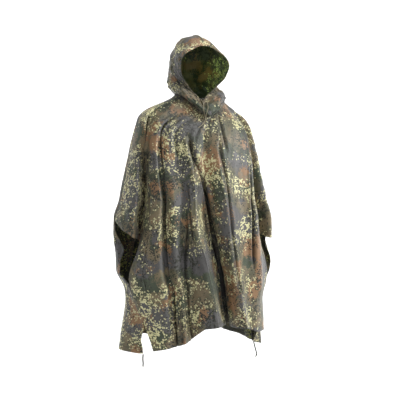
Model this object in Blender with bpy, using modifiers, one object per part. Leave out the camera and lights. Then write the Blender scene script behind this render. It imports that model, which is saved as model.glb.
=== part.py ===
"""Rain poncho with a hood, drawn up over a wearer who isn't modelled.

Frame: +Z up, the open face of the hood looks along -Y, the wearer's right is -X. The origin lies on the
body's axis at the height of the neck, where the wearer's shoulders carry the cloth. Units are metres.

The two body panels are lofted through fold lines. Each fold line runs from the neck seam to the edge of
the cloth, and says at five heights how far round the body it lies (bearing) and how far it stands off a
plain ring (out): positive on the crest of a fold, negative in a valley.
"""

from collections import namedtuple
from math import pi

import bpy
import numpy as np

# ---- driving sizes -------------------------------------------------------------------------------------
WALL = 0.0012
SEAM_GAP = 0.0008
TACK_GAP = 0.004
HOOD_SEAM_GAP = 0.0014
CORD = 0.0030
TIE = 0.0056

# Heights at which every fold line is given.
CHEST, WRIST, LOOP, THIGH, HEM = -0.12, -0.48, -0.68, -0.82, -1.02
LEVELS = (HEM, THIGH, LOOP, WRIST, CHEST)

# Plain rings of the body: reach to the wearer's right and left, to the front and to the back.
Ring = namedtuple("Ring", "z right left front back")
RINGS = (
    Ring(0.00, 0.215, 0.190, 0.100, 0.095),
    Ring(-0.04, 0.250, 0.210, 0.118, 0.112),
    Ring(-0.12, 0.276, 0.240, 0.142, 0.138),
    Ring(-0.30, 0.309, 0.277, 0.166, 0.168),
    Ring(-0.40, 0.325, 0.300, 0.176, 0.181),
    Ring(-0.48, 0.346, 0.324, 0.182, 0.190),
    Ring(-0.68, 0.340, 0.322, 0.190, 0.200),
    Ring(-0.76, 0.310, 0.307, 0.193, 0.203),
    Ring(-0.82, 0.310, 0.287, 0.196, 0.205),
    Ring(-1.02, 0.322, 0.297, 0.202, 0.212),
)

# Neck seam: an oval that is low in front and high at the sides and behind. Along it the fold lines are
# spread by this share of evenly, and by the rest as on the chest.
NECK_EVEN = 0.5
NECK_SIDE, NECK_FRONT, NECK_BACK = 0.098, 0.112, 0.092
NECK_Z_SIDE, NECK_Z_FRONT, NECK_Z_BACK = 0.040, -0.060, 0.040

# Depth below the neck seam over which the cloth leaves the neck and reaches the full ring.
CAP_RIGHT, CAP_LEFT, CAP_FRONT, CAP_BACK = 0.093, 0.110, 0.085, 0.085
# How much of the way outwards it has come at shares of that depth.
CAP_SHARE = (0.0, 0.30, 0.60, 0.85, 1.0)
CAP_COVER = (0.0, 0.20, 0.62, 0.90, 1.0)

Fold = namedtuple(
    "Fold",
    "name b_chest b_wrist b_loop b_thigh b_hem o_chest o_wrist o_loop o_thigh o_hem drop",
)
# Bearing in degrees from the front, minus towards the wearer's right; out in mm; drop is the height of
# the cloth's edge on that line.
FRONT_FOLDS = (
    Fold("seam_right", -90, -90, -90, -90, -90, 4, 16, 14, 14, 14, -0.480),
    Fold("wing_face_right", -80, -77, -80, -80, -80, 8, 18, 10, 0, 0, -0.512),
    Fold("wing_edge_right", -71, -62, -64, -73, -73, 10, 26, 20, 0, 0, -0.546),
    Fold("arm_valley_right", -68, -76, -78, -84, -84, -14, -80, -70, 0, 0, -0.562),
    Fold("mouth_right", -64, -58, -74, -92, -92, -14, -48, -20, 4, 0, -0.650),
    Fold("closure_start_right", -61, -54, -70, -88, -88, -10, -22, -6, 4, 0, -0.730),
    Fold("slit_top_right", -59, -50, -58, -63, -54, -2, -4, 2, 6, 6, -0.885),
    Fold("corner_right", -57, -47, -52, -55, -50, 4, 8, 10, 8, 8, -0.985),
    Fold("crest_1", -52, -41, -41, -41, -39, 10, 18, 20, 14, 8, -0.975),
    Fold("valley_1", -48, -38, -37, -36, -32, -8, -18, -22, -14, -6, -0.968),
    Fold("crest_2", -41, -32, -30, -28, -27, 8, 14, 16, 14, 10, -0.958),
    Fold("valley_2", -32, -21, -22, -22, -19, 0, -4, -10, -10, -12, -0.942),
    Fold("crest_3", -24, -20, -15, -13, -12, 4, 12, 22, 26, 26, -0.900),
    Fold("valley_edge_right", -18, -16, -10, -6, -2, 6, 24, 38, 40, 38, -0.893),
    Fold("centre_valley", -8, -3, 6, 12, 17, -14, -50, -62, -60, -52, -0.905),
    Fold("valley_edge_left", -2, 3, 8, 14, 21, 2, 8, 8, 10, 12, -0.910),
    Fold("crest_4", 4, 8, 12, 18, 25, 8, 28, 34, 32, 22, -0.912),
    Fold("valley_4", 22, 21, 25, 29, 32, 0, 4, 6, 4, 0, -0.925),
    Fold("crest_5", 41, 33, 36, 40, 39, 8, 20, 24, 18, 8, -0.940),
    Fold("corner_left", 46, 40, 44, 54, 60, 0, 2, 8, 8, 6, -0.945),
    Fold("slit_top_left", 50, 46, 56, 69, 78, -6, -22, -8, 2, 2, -0.880),
    Fold("closure_start_left", 54, 52, 68, 78, 80, -14, -44, -12, 0, 2, -0.800),
    Fold("arm_valley_left", 60, 66, 74, 80, 82, -18, -78, -60, 4, 4, -0.545),
    Fold("wing_edge_left", 66, 64, 66, 80, 82, 8, 16, 14, 4, 4, -0.563),
    Fold("seam_left", 90, 90, 90, 90, 90, 0, 6, 8, 8, 8, -0.548),
)
BACK_FOLDS = (
    Fold("seam_right", -90, -90, -90, -90, -90, 4, 16, 14, 14, 14, -0.480),
    Fold("under_flap_right", -93, -97, -66, -66, -66, 4, 14, -20, 0, 0, -0.575),
    Fold("loop_out_right", -97, -101, -79, -80, -80, 4, 18, 16, 0, 0, -0.646),
    Fold("loop_in_right", -100, -105, -83, -84, -84, 4, 18, 10, 0, 0, -0.677),
    Fold("closure_start_right", -103, -109, -92, -82, -82, 4, 16, 14, 3, 0, -0.730),
    Fold("slit_top_right", -106, -114, -102, -88, -50, 4, 14, 18, 0, 6, -0.885),
    Fold("corner_right", -109, -119, -111, -96, -58, 2, 8, 14, 0, 14, -0.996),
    Fold("side_crest_right", -113, -124, -119, -107, -84, -2, -6, 6, 2, 36, -0.988),
    Fold("arm_valley_right", -117, -129, -126, -121, -116, -14, -44, -20, -10, -6, -0.985),
    Fold("back_crest_1", -125, -138, -136, -134, -132, 8, 22, 24, 20, 18, -0.978),
    Fold("back_valley_1", -137, -148, -147, -146, -145, -2, -16, -22, -22, -18, -0.972),
    Fold("back_crest_2", -150, -160, -159, -158, -158, 6, 16, 22, 22, 20, -0.966),
    Fold("back_valley_2", -166, -171, -171, -171, -170, -4, -22, -34, -36, -34, -0.956),
    Fold("back_crest_3", -180, -183, -184, -185, -185, 6, 20, 26, 28, 26, -0.950),
    Fold("back_valley_3", -194, -196, -198, -199, -200, -2, -12, -20, -24, -24, -0.955),
    Fold("back_crest_4", -208, -209, -211, -212, -213, 6, 16, 20, 22, 22, -0.968),
    Fold("back_valley_4", -222, -221, -223, -225, -226, -2, -14, -22, -20, -16, -0.985),
    Fold("back_crest_5", -234, -230, -232, -236, -238, 8, 20, 20, 16, 14, -1.005),
    Fold("arm_valley_left", -241, -237, -242, -248, -252, -14, -40, -14, -8, -4, -1.020),
    Fold("side_crest_left", -245, -242, -250, -258, -270, -2, 0, 12, 12, 6, -1.030),
    Fold("corner_left", -249, -246, -256, -268, -288, 2, 8, 14, 6, -45, -1.005),
    Fold("slit_top_left", -253, -250, -257, -274, -290, 4, 12, 18, 2, 2, -0.880),
    Fold("closure_start_left", -257, -254, -262, -280, -284, 4, 12, 22, 2, 4, -0.800),
    Fold("loop_out_left", -261, -258, -267, -276, -280, 4, 10, 42, 4, 4, -0.670),
    Fold("under_flap_left", -265, -261, -274, -280, -280, 2, 8, 10, 4, 4, -0.590),
    Fold("seam_left", -270, -270, -270, -270, -270, 0, 6, 8, 8, 8, -0.548),
)
# Sewn side seams below the wrists, from the sleeve's mouth down to the top of the side slit.
Edge = namedtuple("Edge", "bearing out z")
SIDE_SEAMS = {
    "right": (Edge(-80, 2, -0.730), Edge(-74, 3, -0.805), Edge(-60, 5, -0.885)),
    "left": (Edge(78, 0, -0.800), Edge(77, 0, -0.840), Edge(75, 0, -0.880)),
}
FRONT_STEPS, BACK_STEPS, SEAM_STEPS, ROWS = 3, 2, 4, 20
ROW_BIAS = 1.35
EDGE_BLEND = 5


def smooth(xs, ys, x):
    """Monotone cubic through the points (xs, ys), xs rising, held level beyond both ends."""
    xs, ys = np.asarray(xs, float), np.asarray(ys, float)
    step, rise = np.diff(xs), np.diff(ys) / np.diff(xs)
    slope = np.zeros(len(xs))
    for k in range(1, len(xs) - 1):
        if rise[k - 1] * rise[k] > 0:
            w1, w2 = 2 * step[k] + step[k - 1], step[k] + 2 * step[k - 1]
            slope[k] = (w1 + w2) / (w1 / rise[k - 1] + w2 / rise[k])
    x = np.clip(x, xs[0], xs[-1])
    k = np.clip(np.searchsorted(xs, x, side="right") - 1, 0, len(xs) - 2)
    t = (x - xs[k]) / step[k]
    return (
        ys[k] * (1 + 2 * t) * (1 - t) ** 2
        + ys[k + 1] * t**2 * (3 - 2 * t)
        + step[k] * (slope[k] * t * (1 - t) ** 2 - slope[k + 1] * t**2 * (1 - t))
    )


def ring_point(bearing, out, z):
    """Plan place at a bearing in degrees on the plain ring at height z, moved out by out metres."""
    rows = RINGS[::-1]
    zs = [r.z for r in rows]
    angle = np.radians(bearing)
    sine, cosine = np.sin(angle), np.cos(angle)
    side = np.where(
        sine < 0, smooth(zs, [r.right for r in rows], z), smooth(zs, [r.left for r in rows], z)
    )
    depth = np.where(
        cosine > 0, smooth(zs, [r.front for r in rows], z), smooth(zs, [r.back for r in rows], z)
    )
    normal = np.stack([sine / side, -cosine / depth], -1)
    normal /= np.linalg.norm(normal, axis=-1, keepdims=True)
    return np.stack([side * sine, -depth * cosine], -1) + out[..., None] * normal


def fold_point(fold, z):
    """Plan place of a fold line at height z."""
    bearing = smooth(LEVELS, (fold.b_hem, fold.b_thigh, fold.b_loop, fold.b_wrist, fold.b_chest), z)
    out = smooth(LEVELS, (fold.o_hem, fold.o_thigh, fold.o_loop, fold.o_wrist, fold.o_chest), z)
    return ring_point(bearing, out / 1000, z)


def curve_between(p0, p1, p2, p3, t):
    """Centripetal Catmull-Rom point between p1 and p2."""
    def gap(a, b):
        return np.maximum(np.linalg.norm(b - a, axis=-1, keepdims=True), 1e-6) ** 0.5

    t0 = 0.0
    t1 = t0 + gap(p0, p1)
    t2 = t1 + gap(p1, p2)
    t3 = t2 + gap(p2, p3)
    t = t1 + (t2 - t1) * t[..., None]
    a1 = ((t1 - t) * p0 + (t - t0) * p1) / (t1 - t0)
    a2 = ((t2 - t) * p1 + (t - t1) * p2) / (t2 - t1)
    a3 = ((t3 - t) * p2 + (t - t2) * p3) / (t3 - t2)
    b1 = ((t2 - t) * a1 + (t - t0) * a2) / (t2 - t0)
    b2 = ((t3 - t) * a2 + (t - t1) * a3) / (t3 - t1)
    return ((t2 - t) * b1 + (t - t1) * b2) / (t2 - t1)


def across(folds, where, z):
    """Plan place on a panel: where counts fold lines from the wearer's right, z is the height."""
    last = len(folds) - 1
    low = np.clip(np.floor(where).astype(int), 0, last - 1)
    lines = np.stack([fold_point(f, z) for f in folds], 0)
    # The lines beyond both seams mirror their neighbours, so that a seam is crossed square.
    def line(k):
        inner = np.take_along_axis(
            lines, np.clip(k, 0, last)[None, ..., None] * np.ones((1, 1, 1, 2), int), 0
        )[0]
        before = 2 * lines[0] - lines[1]
        after = 2 * lines[last] - lines[last - 1]
        inner = np.where((k < 0)[..., None], before, inner)
        return np.where((k > last)[..., None], after, inner)

    return curve_between(line(low - 1), line(low), line(low + 1), line(low + 2), where - low)


def by_side(bearing, right, left, front, back):
    """A size that has its own value at each side, in front and behind, blended by the bearing."""
    angle = np.radians(bearing)
    sine, cosine = np.sin(angle), np.cos(angle)
    side = np.where(sine < 0, right, left)
    end = np.where(cosine > 0, front, back)
    return side + (end - side) * cosine**2


def neck(bearing):
    """Point of the neck seam at a bearing in degrees."""
    angle = np.radians(bearing)
    sine, cosine = np.sin(angle), np.cos(angle)
    depth = np.where(cosine > 0, NECK_FRONT, NECK_BACK)
    z = by_side(bearing, NECK_Z_SIDE, NECK_Z_SIDE, NECK_Z_FRONT, NECK_Z_BACK)
    return np.stack([NECK_SIDE * sine, -depth * cosine, z], -1)


def side_seam(side, share):
    """Point of a side seam, share running from 0 at the sleeve's mouth to 1 at the slit."""
    rows = SIDE_SEAMS[side]
    steps = np.linspace(0, 1, len(rows))
    bearing, out, z = (np.interp(share, steps, column) for column in zip(*rows))
    return np.concatenate([ring_point(bearing, out / 1000, z), z[..., None]], -1)


def spread_of(names, steps):
    """Columns of a panel counted in fold lines: steps a fold, and SEAM_STEPS where a side seam runs."""
    spread = [0.0]
    for k in range(len(names) - 1):
        seam = {n.split("_")[0] for n in names[k : k + 2]} == {"closure", "slit"}
        count = SEAM_STEPS if seam else steps
        spread += [k + (i + 1) / count for i in range(count)]
    return np.round(spread, 6)


def panel_grid(folds, steps):
    """Grid of points, rows down from the neck, columns in the order of the fold lines."""
    last = len(folds) - 1
    names = [f.name for f in folds]
    spread = spread_of(names, steps)
    t = np.linspace(0, 1, ROWS + 1)[:, None] ** ROW_BIAS
    index = np.arange(last + 1)
    drop = np.interp(spread, index, [f.drop for f in folds])
    start = np.interp(spread, index, [f.b_chest for f in folds])
    even = np.interp(spread, [0, last], [folds[0].b_chest, folds[-1].b_chest])
    top = neck((1 - NECK_EVEN) * start + NECK_EVEN * even)
    z = top[:, 2] + (drop - top[:, 2]) * t
    cap = by_side(start, CAP_RIGHT, CAP_LEFT, CAP_FRONT, CAP_BACK)
    cover = smooth(CAP_SHARE, CAP_COVER, np.clip((top[:, 2] - z) / cap, 0, 1))
    full = across(folds, np.broadcast_to(spread, z.shape), np.minimum(z, top[:, 2] - cap))
    plan = top[:, :2] + (full - top[:, :2]) * cover[..., None]
    grid = np.concatenate([plan, z[..., None]], -1)
    # The edges that a side seam joins end on the seam's own line.
    tacks = []
    for side in SIDE_SEAMS:
        first = names.index("closure_start_" + side)
        second = names.index("slit_top_" + side)
        share = (spread - first) / (second - first)
        on = (share > -0.001) & (share < 1.001)
        move = side_seam(side, share[on]) - grid[-1, on]
        grid[:, on] += move * (t**EDGE_BLEND)[..., None]
        tacks.append(int(np.argmin(abs(share))))
    return part_seams(grid, tacks)


def part_seams(grid, tacks):
    """Draws seam columns and the lower edge in by half the gap, and more at the tacks, a list of columns."""
    for edge, inner in ((0, 1), (-1, -2)):
        way = grid[:, inner] - grid[:, edge]
        grid[:, edge] += way / np.linalg.norm(way, axis=-1, keepdims=True) * SEAM_GAP / 2
    along = np.gradient(grid[-1], axis=0)
    along /= np.linalg.norm(along, axis=-1, keepdims=True)
    way = grid[-2] - grid[-1]
    way -= along * np.sum(way * along, -1, keepdims=True)
    way *= SEAM_GAP / 2 / np.linalg.norm(way, axis=-1, keepdims=True)
    way[tacks] *= TACK_GAP / SEAM_GAP
    grid[-1] += way
    return grid


# ---- hood ----------------------------------------------------------------------------------------------
# Level rings of the hood from the neck seam to the crown: rim is the bearing of the face edge (0 where
# the front is closed), y_rim and y_back are the ends of the ring, z is given at rim, side and back, and
# sway moves the ring sideways, as the cloth round the throat lies to the wearer's right.
HoodRing = namedtuple("HoodRing", "name t rim width y_rim y_back z_rim z_side z_back sway")
HOOD_RINGS = (
    HoodRing("seam", 0.00, 0, 0.098, -0.112, 0.092, -0.060, 0.038, 0.040, 0.000),
    HoodRing("roll", 0.07, 0, 0.114, -0.134, 0.104, -0.066, 0.046, 0.046, -0.003),
    HoodRing("throat", 0.15, 0, 0.113, -0.128, 0.112, -0.046, 0.064, 0.062, -0.008),
    HoodRing("chin", 0.29, 2, 0.105, -0.078, 0.122, 0.000, 0.094, 0.088, -0.011),
    HoodRing("jaw", 0.41, 33, 0.107, -0.062, 0.132, 0.062, 0.122, 0.118, -0.009),
    HoodRing("cheek", 0.53, 60, 0.117, -0.068, 0.139, 0.115, 0.150, 0.148, -0.005),
    HoodRing("temple", 0.64, 68, 0.118, -0.076, 0.141, 0.158, 0.180, 0.180, -0.001),
    HoodRing("brow", 0.75, 54, 0.109, -0.076, 0.138, 0.193, 0.215, 0.212, 0.000),
    HoodRing("upper", 0.86, 36, 0.084, -0.074, 0.130, 0.217, 0.251, 0.238, 0.000),
    HoodRing("top", 0.95, 30, 0.047, -0.069, 0.118, 0.230, 0.285, 0.254, 0.000),
    HoodRing("crown", 1.00, 28, 0.000, -0.066, 0.108, 0.234, 0.300, 0.262, 0.000),
)
HOOD_COLUMNS, HOOD_ROWS, HOOD_ROW_BIAS = 12, 22, 1.2
# Height of the hood over the neck seam, and the share of t in which it joins the seam's oval.
HOOD_LIFT, HOOD_JOIN = 0.0022, 0.07
# Gathers round a half, how deep they are, where they end, and how fast they set in at both ends.
GATHERS, GATHER_DEPTH, GATHER_TOP, GATHER_SET_IN = 9, 0.0035, 0.34, 6
# Hem tunnel round the face opening: a strip laid on each hood half, from the chin to the crown.
TUNNEL_WIDTH, TUNNEL_COLUMNS, TUNNEL_START, TUNNEL_GAP = 0.024, 2, 0.25, 0.0008
# Steps in which a half's girth is measured.
GIRTH_STEPS = 60


def hood_points(s, t):
    """Right half of the hood: s runs from the face edge to the centre-back seam, t from neck to crown."""
    column = list(zip(*HOOD_RINGS))
    at = column[1]
    rim, width, y_rim, y_back, z_rim, z_side, z_back = (smooth(at, c, t) for c in column[2:-1])
    first = np.radians(rim)
    angle = first + s * (pi - first)
    depth = (y_back - y_rim) / (1 + np.cos(first))
    x = -width * np.sin(angle)
    y = y_back - depth - depth * np.cos(angle)
    z = (
        z_rim * 2 * (s - 0.5) * (s - 1)
        + z_side * 4 * s * (1 - s)
        + z_back * 2 * s * (s - 0.5)
    )
    base = neck(-np.degrees(angle))
    base[..., 2] += HOOD_LIFT
    point = np.stack([x, y, z], -1)
    near = np.clip(1 - t / HOOD_JOIN, 0, 1)[..., None]
    point = point + (base - point) * near
    # Gathers pulled up by the neck seam and the drawcord, running out above the chin.
    fade = np.sin(np.clip(t / GATHER_TOP, 0, 1) * pi)
    set_in = np.clip(GATHER_SET_IN * s * (1 - s), 0, 1)
    wave = GATHER_DEPTH * fade * np.sin(2 * pi * GATHERS * s) * set_in
    point[..., 0] += -wave * np.sin(angle)
    point[..., 1] += -wave * np.cos(angle)
    return point


def hood_grid(side):
    """Grid of one hood half: rows up from the neck, columns from the face edge to the centre-back seam."""
    t = np.sin(np.linspace(0, 1, HOOD_ROWS + 1) * pi / 2)[:, None] ** HOOD_ROW_BIAS
    fine = hood_points(*np.broadcast_arrays(np.linspace(0, 1, GIRTH_STEPS + 1)[None, :], t))
    girth = np.linalg.norm(np.diff(fine, axis=1), axis=-1).sum(1, keepdims=True)
    band = TUNNEL_WIDTH / girth
    first = band * np.linspace(0, 1, TUNNEL_COLUMNS + 1)[None, :]
    rest = band + (1 - band) * np.linspace(0, 1, HOOD_COLUMNS + 1)[None, 1:]
    s = np.concatenate([first, rest], 1)
    grid = hood_points(s, np.broadcast_to(t, s.shape))
    grid[..., 0] -= HOOD_SEAM_GAP / 2
    if side == "left":
        grid[..., 0] *= -1
    grid[..., 0] += smooth([r.t for r in HOOD_RINGS], [r.sway for r in HOOD_RINGS], t)
    return grid, t[:, 0]


def grid_normals(grid):
    """Unit normals of a grid of points, along columns crossed with along rows."""
    normal = np.cross(np.gradient(grid, axis=1), np.gradient(grid, axis=0))
    return normal / np.linalg.norm(normal, axis=-1, keepdims=True)


def tunnel_grid(side):
    """The strip of the hem tunnel: the hood's own points from the chin up, moved out by the gap."""
    grid, t = hood_grid(side)
    sense = 1 if side == "right" else -1
    raised = grid - sense * grid_normals(grid) * TUNNEL_GAP
    first = int(np.argmax(t > TUNNEL_START))
    return raised[first:, : TUNNEL_COLUMNS + 1]


# ---- cords ---------------------------------------------------------------------------------------------
# Centrelines in metres. The drawcord leaves both ends of the hem tunnel and hangs over the throat.
Place = namedtuple("Place", "x y z")
DRAWCORD = {
    "right": (
        Place(-0.0241, -0.0812, 0.0098),
        Place(-0.0262, -0.0980, 0.0000),
        Place(-0.0290, -0.1130, -0.0125),
        Place(-0.0345, -0.1285, -0.0245),
        Place(-0.0365, -0.1330, -0.0390),
        Place(-0.0310, -0.1275, -0.0530),
        Place(-0.0235, -0.1195, -0.0650),
        Place(-0.0178, -0.1226, -0.0805),
    ),
    "left": (
        Place(0.0022, -0.0812, 0.0100),
        Place(-0.0030, -0.0975, -0.0010),
        Place(-0.0085, -0.1120, -0.0170),
        Place(-0.0150, -0.1290, -0.0290),
        Place(-0.0212, -0.1353, -0.0420),
        Place(-0.0235, -0.1290, -0.0575),
        Place(-0.0235, -0.1240, -0.0710),
        Place(-0.0315, -0.1262, -0.0890),
        Place(-0.0465, -0.1330, -0.1025),
        Place(-0.0630, -0.1386, -0.1130),
    ),
}
# The ties hang from the two lower corners of the back panel, each place relative to its corner.
TIES = {
    "right": (
        Place(0.0000, -0.0010, -0.0003),
        Place(-0.0015, -0.0015, -0.0180),
        Place(-0.0005, -0.0020, -0.0340),
        Place(-0.0010, -0.0020, -0.0480),
    ),
    "left": (
        Place(0.0000, -0.0010, -0.0018),
        Place(0.0050, -0.0020, -0.0220),
        Place(0.0090, -0.0030, -0.0380),
        Place(0.0140, -0.0030, -0.0560),
        Place(0.0085, -0.0030, -0.0700),
    ),
}
# A cord has a point every so many diameters, and at least so many steps.
CORD_STEP, CORD_STEPS_MIN = 2.5, 4


def cord_line(places, diameter, start=(0, 0, 0)):
    """Evenly spaced points of a smooth line through the places, one every CORD_STEP diameters."""
    points = np.array(places) + np.asarray(start)
    chord = np.concatenate([[0], np.cumsum(np.linalg.norm(np.diff(points, axis=0), axis=1))])
    ends = np.concatenate([[2 * points[0] - points[1]], points, [2 * points[-1] - points[-2]]])
    steps = max(CORD_STEPS_MIN, round(chord[-1] / (CORD_STEP * diameter)))
    at = np.linspace(0, chord[-1], steps + 1)
    low = np.clip(np.searchsorted(chord, at, side="right") - 1, 0, len(points) - 2)
    share = (at - chord[low]) / (chord[low + 1] - chord[low])
    return curve_between(ends[low], ends[low + 1], ends[low + 2], ends[low + 3], share)


def hem_corner(grid, folds, steps, name):
    """Point of a panel's lower edge on the fold line of that name."""
    names = [f.name for f in folds]
    return grid[-1, spread_of(names, steps).tolist().index(names.index(name))]


def cord_object(name, line, diameter, material):
    """A round cord with closed ends along a line of points."""
    curve = bpy.data.curves.new(name, "CURVE")
    curve.dimensions = "3D"
    curve.bevel_depth = diameter / 2
    curve.bevel_resolution = 2
    curve.use_fill_caps = True
    spline = curve.splines.new("POLY")
    spline.points.add(len(line) - 1)
    spline.points.foreach_set("co", np.column_stack([line, np.ones(len(line))]).ravel())
    curve.materials.append(material)
    ob = bpy.data.objects.new(name, curve)
    collection.objects.link(ob)
    return ob


def grid_object(name, grid, material, wall=WALL, offset=1):
    """One sheet of cloth: a mesh through the grid, given its wall by a Solidify modifier."""
    rows, columns = grid.shape[0] - 1, grid.shape[1] - 1
    mesh = bpy.data.meshes.new(name)
    index = np.arange((rows + 1) * (columns + 1)).reshape(rows + 1, columns + 1)
    faces = np.stack([index[:-1, :-1], index[1:, :-1], index[1:, 1:], index[:-1, 1:]], -1)
    mesh.from_pydata(grid.reshape(-1, 3).tolist(), [], faces.reshape(-1, 4).tolist())
    mesh.materials.append(material)
    mesh.shade_smooth()
    ob = bpy.data.objects.new(name, mesh)
    collection.objects.link(ob)
    solid = ob.modifiers.new("Wall", "SOLIDIFY")
    solid.thickness = wall
    solid.offset = offset
    return ob


def cloth_material(name, colour):
    material = bpy.data.materials.new(name)
    material.use_nodes = True
    shader = material.node_tree.nodes["Principled BSDF"]
    shader.inputs["Base Color"].default_value = (*colour, 1)
    shader.inputs["Roughness"].default_value = 0.6
    return material


for old in list(bpy.data.objects):
    bpy.data.objects.remove(old)
collection = bpy.data.collections.new("rain_poncho")
bpy.context.scene.collection.children.link(collection)

front_material = cloth_material("front", (0.16, 0.17, 0.10))
back_material = cloth_material("back", (0.13, 0.14, 0.09))
hood_material = cloth_material("hood", (0.20, 0.19, 0.14))
hood_hem_material = cloth_material("hood_hem", (0.18, 0.17, 0.12))
cord_material = cloth_material("drawcord", (0.05, 0.05, 0.035))
tie_material = cloth_material("tie", (0.06, 0.06, 0.045))

grid_object("front_panel", panel_grid(FRONT_FOLDS, FRONT_STEPS), front_material)
back_grid = panel_grid(BACK_FOLDS, BACK_STEPS)
grid_object("back_panel", back_grid[:, ::-1], back_material)
for side in ("right", "left"):
    # Rows run up from the neck, so the left half's columns are taken the other way round.
    turn = slice(None) if side == "right" else slice(None, None, -1)
    grid_object("hood_" + side, hood_grid(side)[0][:, turn], hood_material, offset=-1)
    grid_object("hood_hem_" + side, tunnel_grid(side)[:, turn], hood_hem_material)
    cord_object("drawcord_" + side, cord_line(DRAWCORD[side], CORD), CORD, cord_material)
    corner = hem_corner(back_grid, BACK_FOLDS, BACK_STEPS, "corner_" + side)
    cord_object("corner_tie_" + side, cord_line(TIES[side], TIE, corner), TIE, tie_material)
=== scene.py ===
"""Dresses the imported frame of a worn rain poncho: cloth panels, hood, seams, cords, floor, light and camera.

Frame: metres, +Z up, the face opening looks along -Y, the wearer's right is -X. The two body panels are
lofted through fold lines, as the frame's are, on a finer grid. Sharp creases, soft wrinkles, hems and
seams come on top, and each cloth carries a flat map in metres for its print and stitches.
"""

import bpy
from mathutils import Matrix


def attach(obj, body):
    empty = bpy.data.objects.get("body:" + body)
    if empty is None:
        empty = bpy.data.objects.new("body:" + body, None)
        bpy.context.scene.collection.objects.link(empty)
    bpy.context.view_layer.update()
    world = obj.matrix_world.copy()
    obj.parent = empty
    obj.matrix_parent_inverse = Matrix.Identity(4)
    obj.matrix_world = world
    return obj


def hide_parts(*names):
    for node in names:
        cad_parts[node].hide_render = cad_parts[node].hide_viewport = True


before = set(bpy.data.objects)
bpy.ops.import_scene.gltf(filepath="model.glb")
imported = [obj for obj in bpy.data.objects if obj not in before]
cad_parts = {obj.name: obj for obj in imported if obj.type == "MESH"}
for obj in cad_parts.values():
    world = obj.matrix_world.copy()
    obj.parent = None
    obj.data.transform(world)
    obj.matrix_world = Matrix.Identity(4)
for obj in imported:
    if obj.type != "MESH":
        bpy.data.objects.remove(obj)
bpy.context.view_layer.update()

import logging
from dataclasses import dataclass, field
from enum import Enum
from math import pi, radians
from typing import Any, Sequence

import bmesh
import bpy
import numpy as np

log = logging.getLogger("poncho")
Array = np.ndarray
Triple = tuple[float, float, float]
MM = 0.001
BODY = "root"


# ---- curves and grids ----------------------------------------------------------------------------------
def smooth(xs: Sequence[float], ys: Sequence[float], x: Array) -> Array:
    """Monotone cubic through the points (xs, ys), held level beyond both ends.

    Between two points it is the Hermite cubic
    y0*(1+2t)(1-t)^2 + y1*t^2(3-2t) + h*(m0*t(1-t)^2 - m1*t^2(1-t)),
    whose slopes m are the weighted harmonic mean of the steps on both sides, or 0 at a turn.

    Args:
        xs: rising places of the points.
        ys: heights of the points.
        x: places to read.
    Returns:
        The heights at x.
    """
    xs, ys = np.asarray(xs, float), np.asarray(ys, float)
    step, rise = np.diff(xs), np.diff(ys) / np.diff(xs)
    before, after = rise[:-1], rise[1:]
    w1, w2 = 2 * step[1:] + step[:-1], step[1:] + 2 * step[:-1]
    same = before * after > 0
    safe = np.where(same, w1 / np.where(same, before, 1) + w2 / np.where(same, after, 1), 1)
    slope = np.concatenate([[0], np.where(same, (w1 + w2) / safe, 0), [0]])
    x = np.clip(x, xs[0], xs[-1])
    k = np.clip(np.searchsorted(xs, x, side="right") - 1, 0, len(xs) - 2)
    t = (x - xs[k]) / step[k]
    return (
        ys[k] * (1 + 2 * t) * (1 - t) ** 2
        + ys[k + 1] * t**2 * (3 - 2 * t)
        + step[k] * (slope[k] * t * (1 - t) ** 2 - slope[k + 1] * t**2 * (1 - t))
    )


def ease(x: Array) -> Array:
    """Smooth step 3x^2 - 2x^3 of x, held at 0 and 1."""
    x = np.clip(x, 0, 1)
    return x * x * (3 - 2 * x)


def unit(v: Array) -> Array:
    """Vectors of length 1 along v."""
    return v / np.maximum(np.linalg.norm(v, axis=-1, keepdims=True), 1e-9)


def curve_between(p0: Array, p1: Array, p2: Array, p3: Array, t: Array) -> Array:
    """Centripetal Catmull-Rom point between p1 and p2.

    The knots lie as far apart as the square roots of the chords, and the point is the usual pyramid of
    linear blends between them.

    Args:
        p0, p1, p2, p3: four points in a row.
        t: share of the way from p1 to p2.
    Returns:
        The points.
    """

    def gap(a: Array, b: Array) -> Array:
        """Square root of the distance from a to b."""
        return np.maximum(np.linalg.norm(b - a, axis=-1, keepdims=True), 1e-6) ** 0.5

    t0 = 0.0
    t1 = t0 + gap(p0, p1)
    t2 = t1 + gap(p1, p2)
    t3 = t2 + gap(p2, p3)
    t = t1 + (t2 - t1) * t[..., None]
    a1 = ((t1 - t) * p0 + (t - t0) * p1) / (t1 - t0)
    a2 = ((t2 - t) * p1 + (t - t1) * p2) / (t2 - t1)
    a3 = ((t3 - t) * p2 + (t - t2) * p3) / (t3 - t2)
    b1 = ((t2 - t) * a1 + (t - t0) * a2) / (t2 - t0)
    b2 = ((t3 - t) * a2 + (t - t1) * a3) / (t3 - t1)
    return ((t2 - t) * b1 + (t - t1) * b2) / (t2 - t1)


def normals(grid: Array) -> Array:
    """Unit normals of a grid of points: its row direction crossed with its column direction."""
    return unit(np.cross(np.gradient(grid, axis=0), np.gradient(grid, axis=1)))


def lengths(grid: Array, axis: int) -> Array:
    """Running length in metres along the rows (axis 1) or columns (axis 0) of a grid, from 0."""
    step = np.linalg.norm(np.diff(grid, axis=axis), axis=-1)
    pad = [(0, 0), (0, 0)]
    pad[axis] = (1, 0)
    return np.cumsum(np.pad(step, pad), axis=axis)


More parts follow.
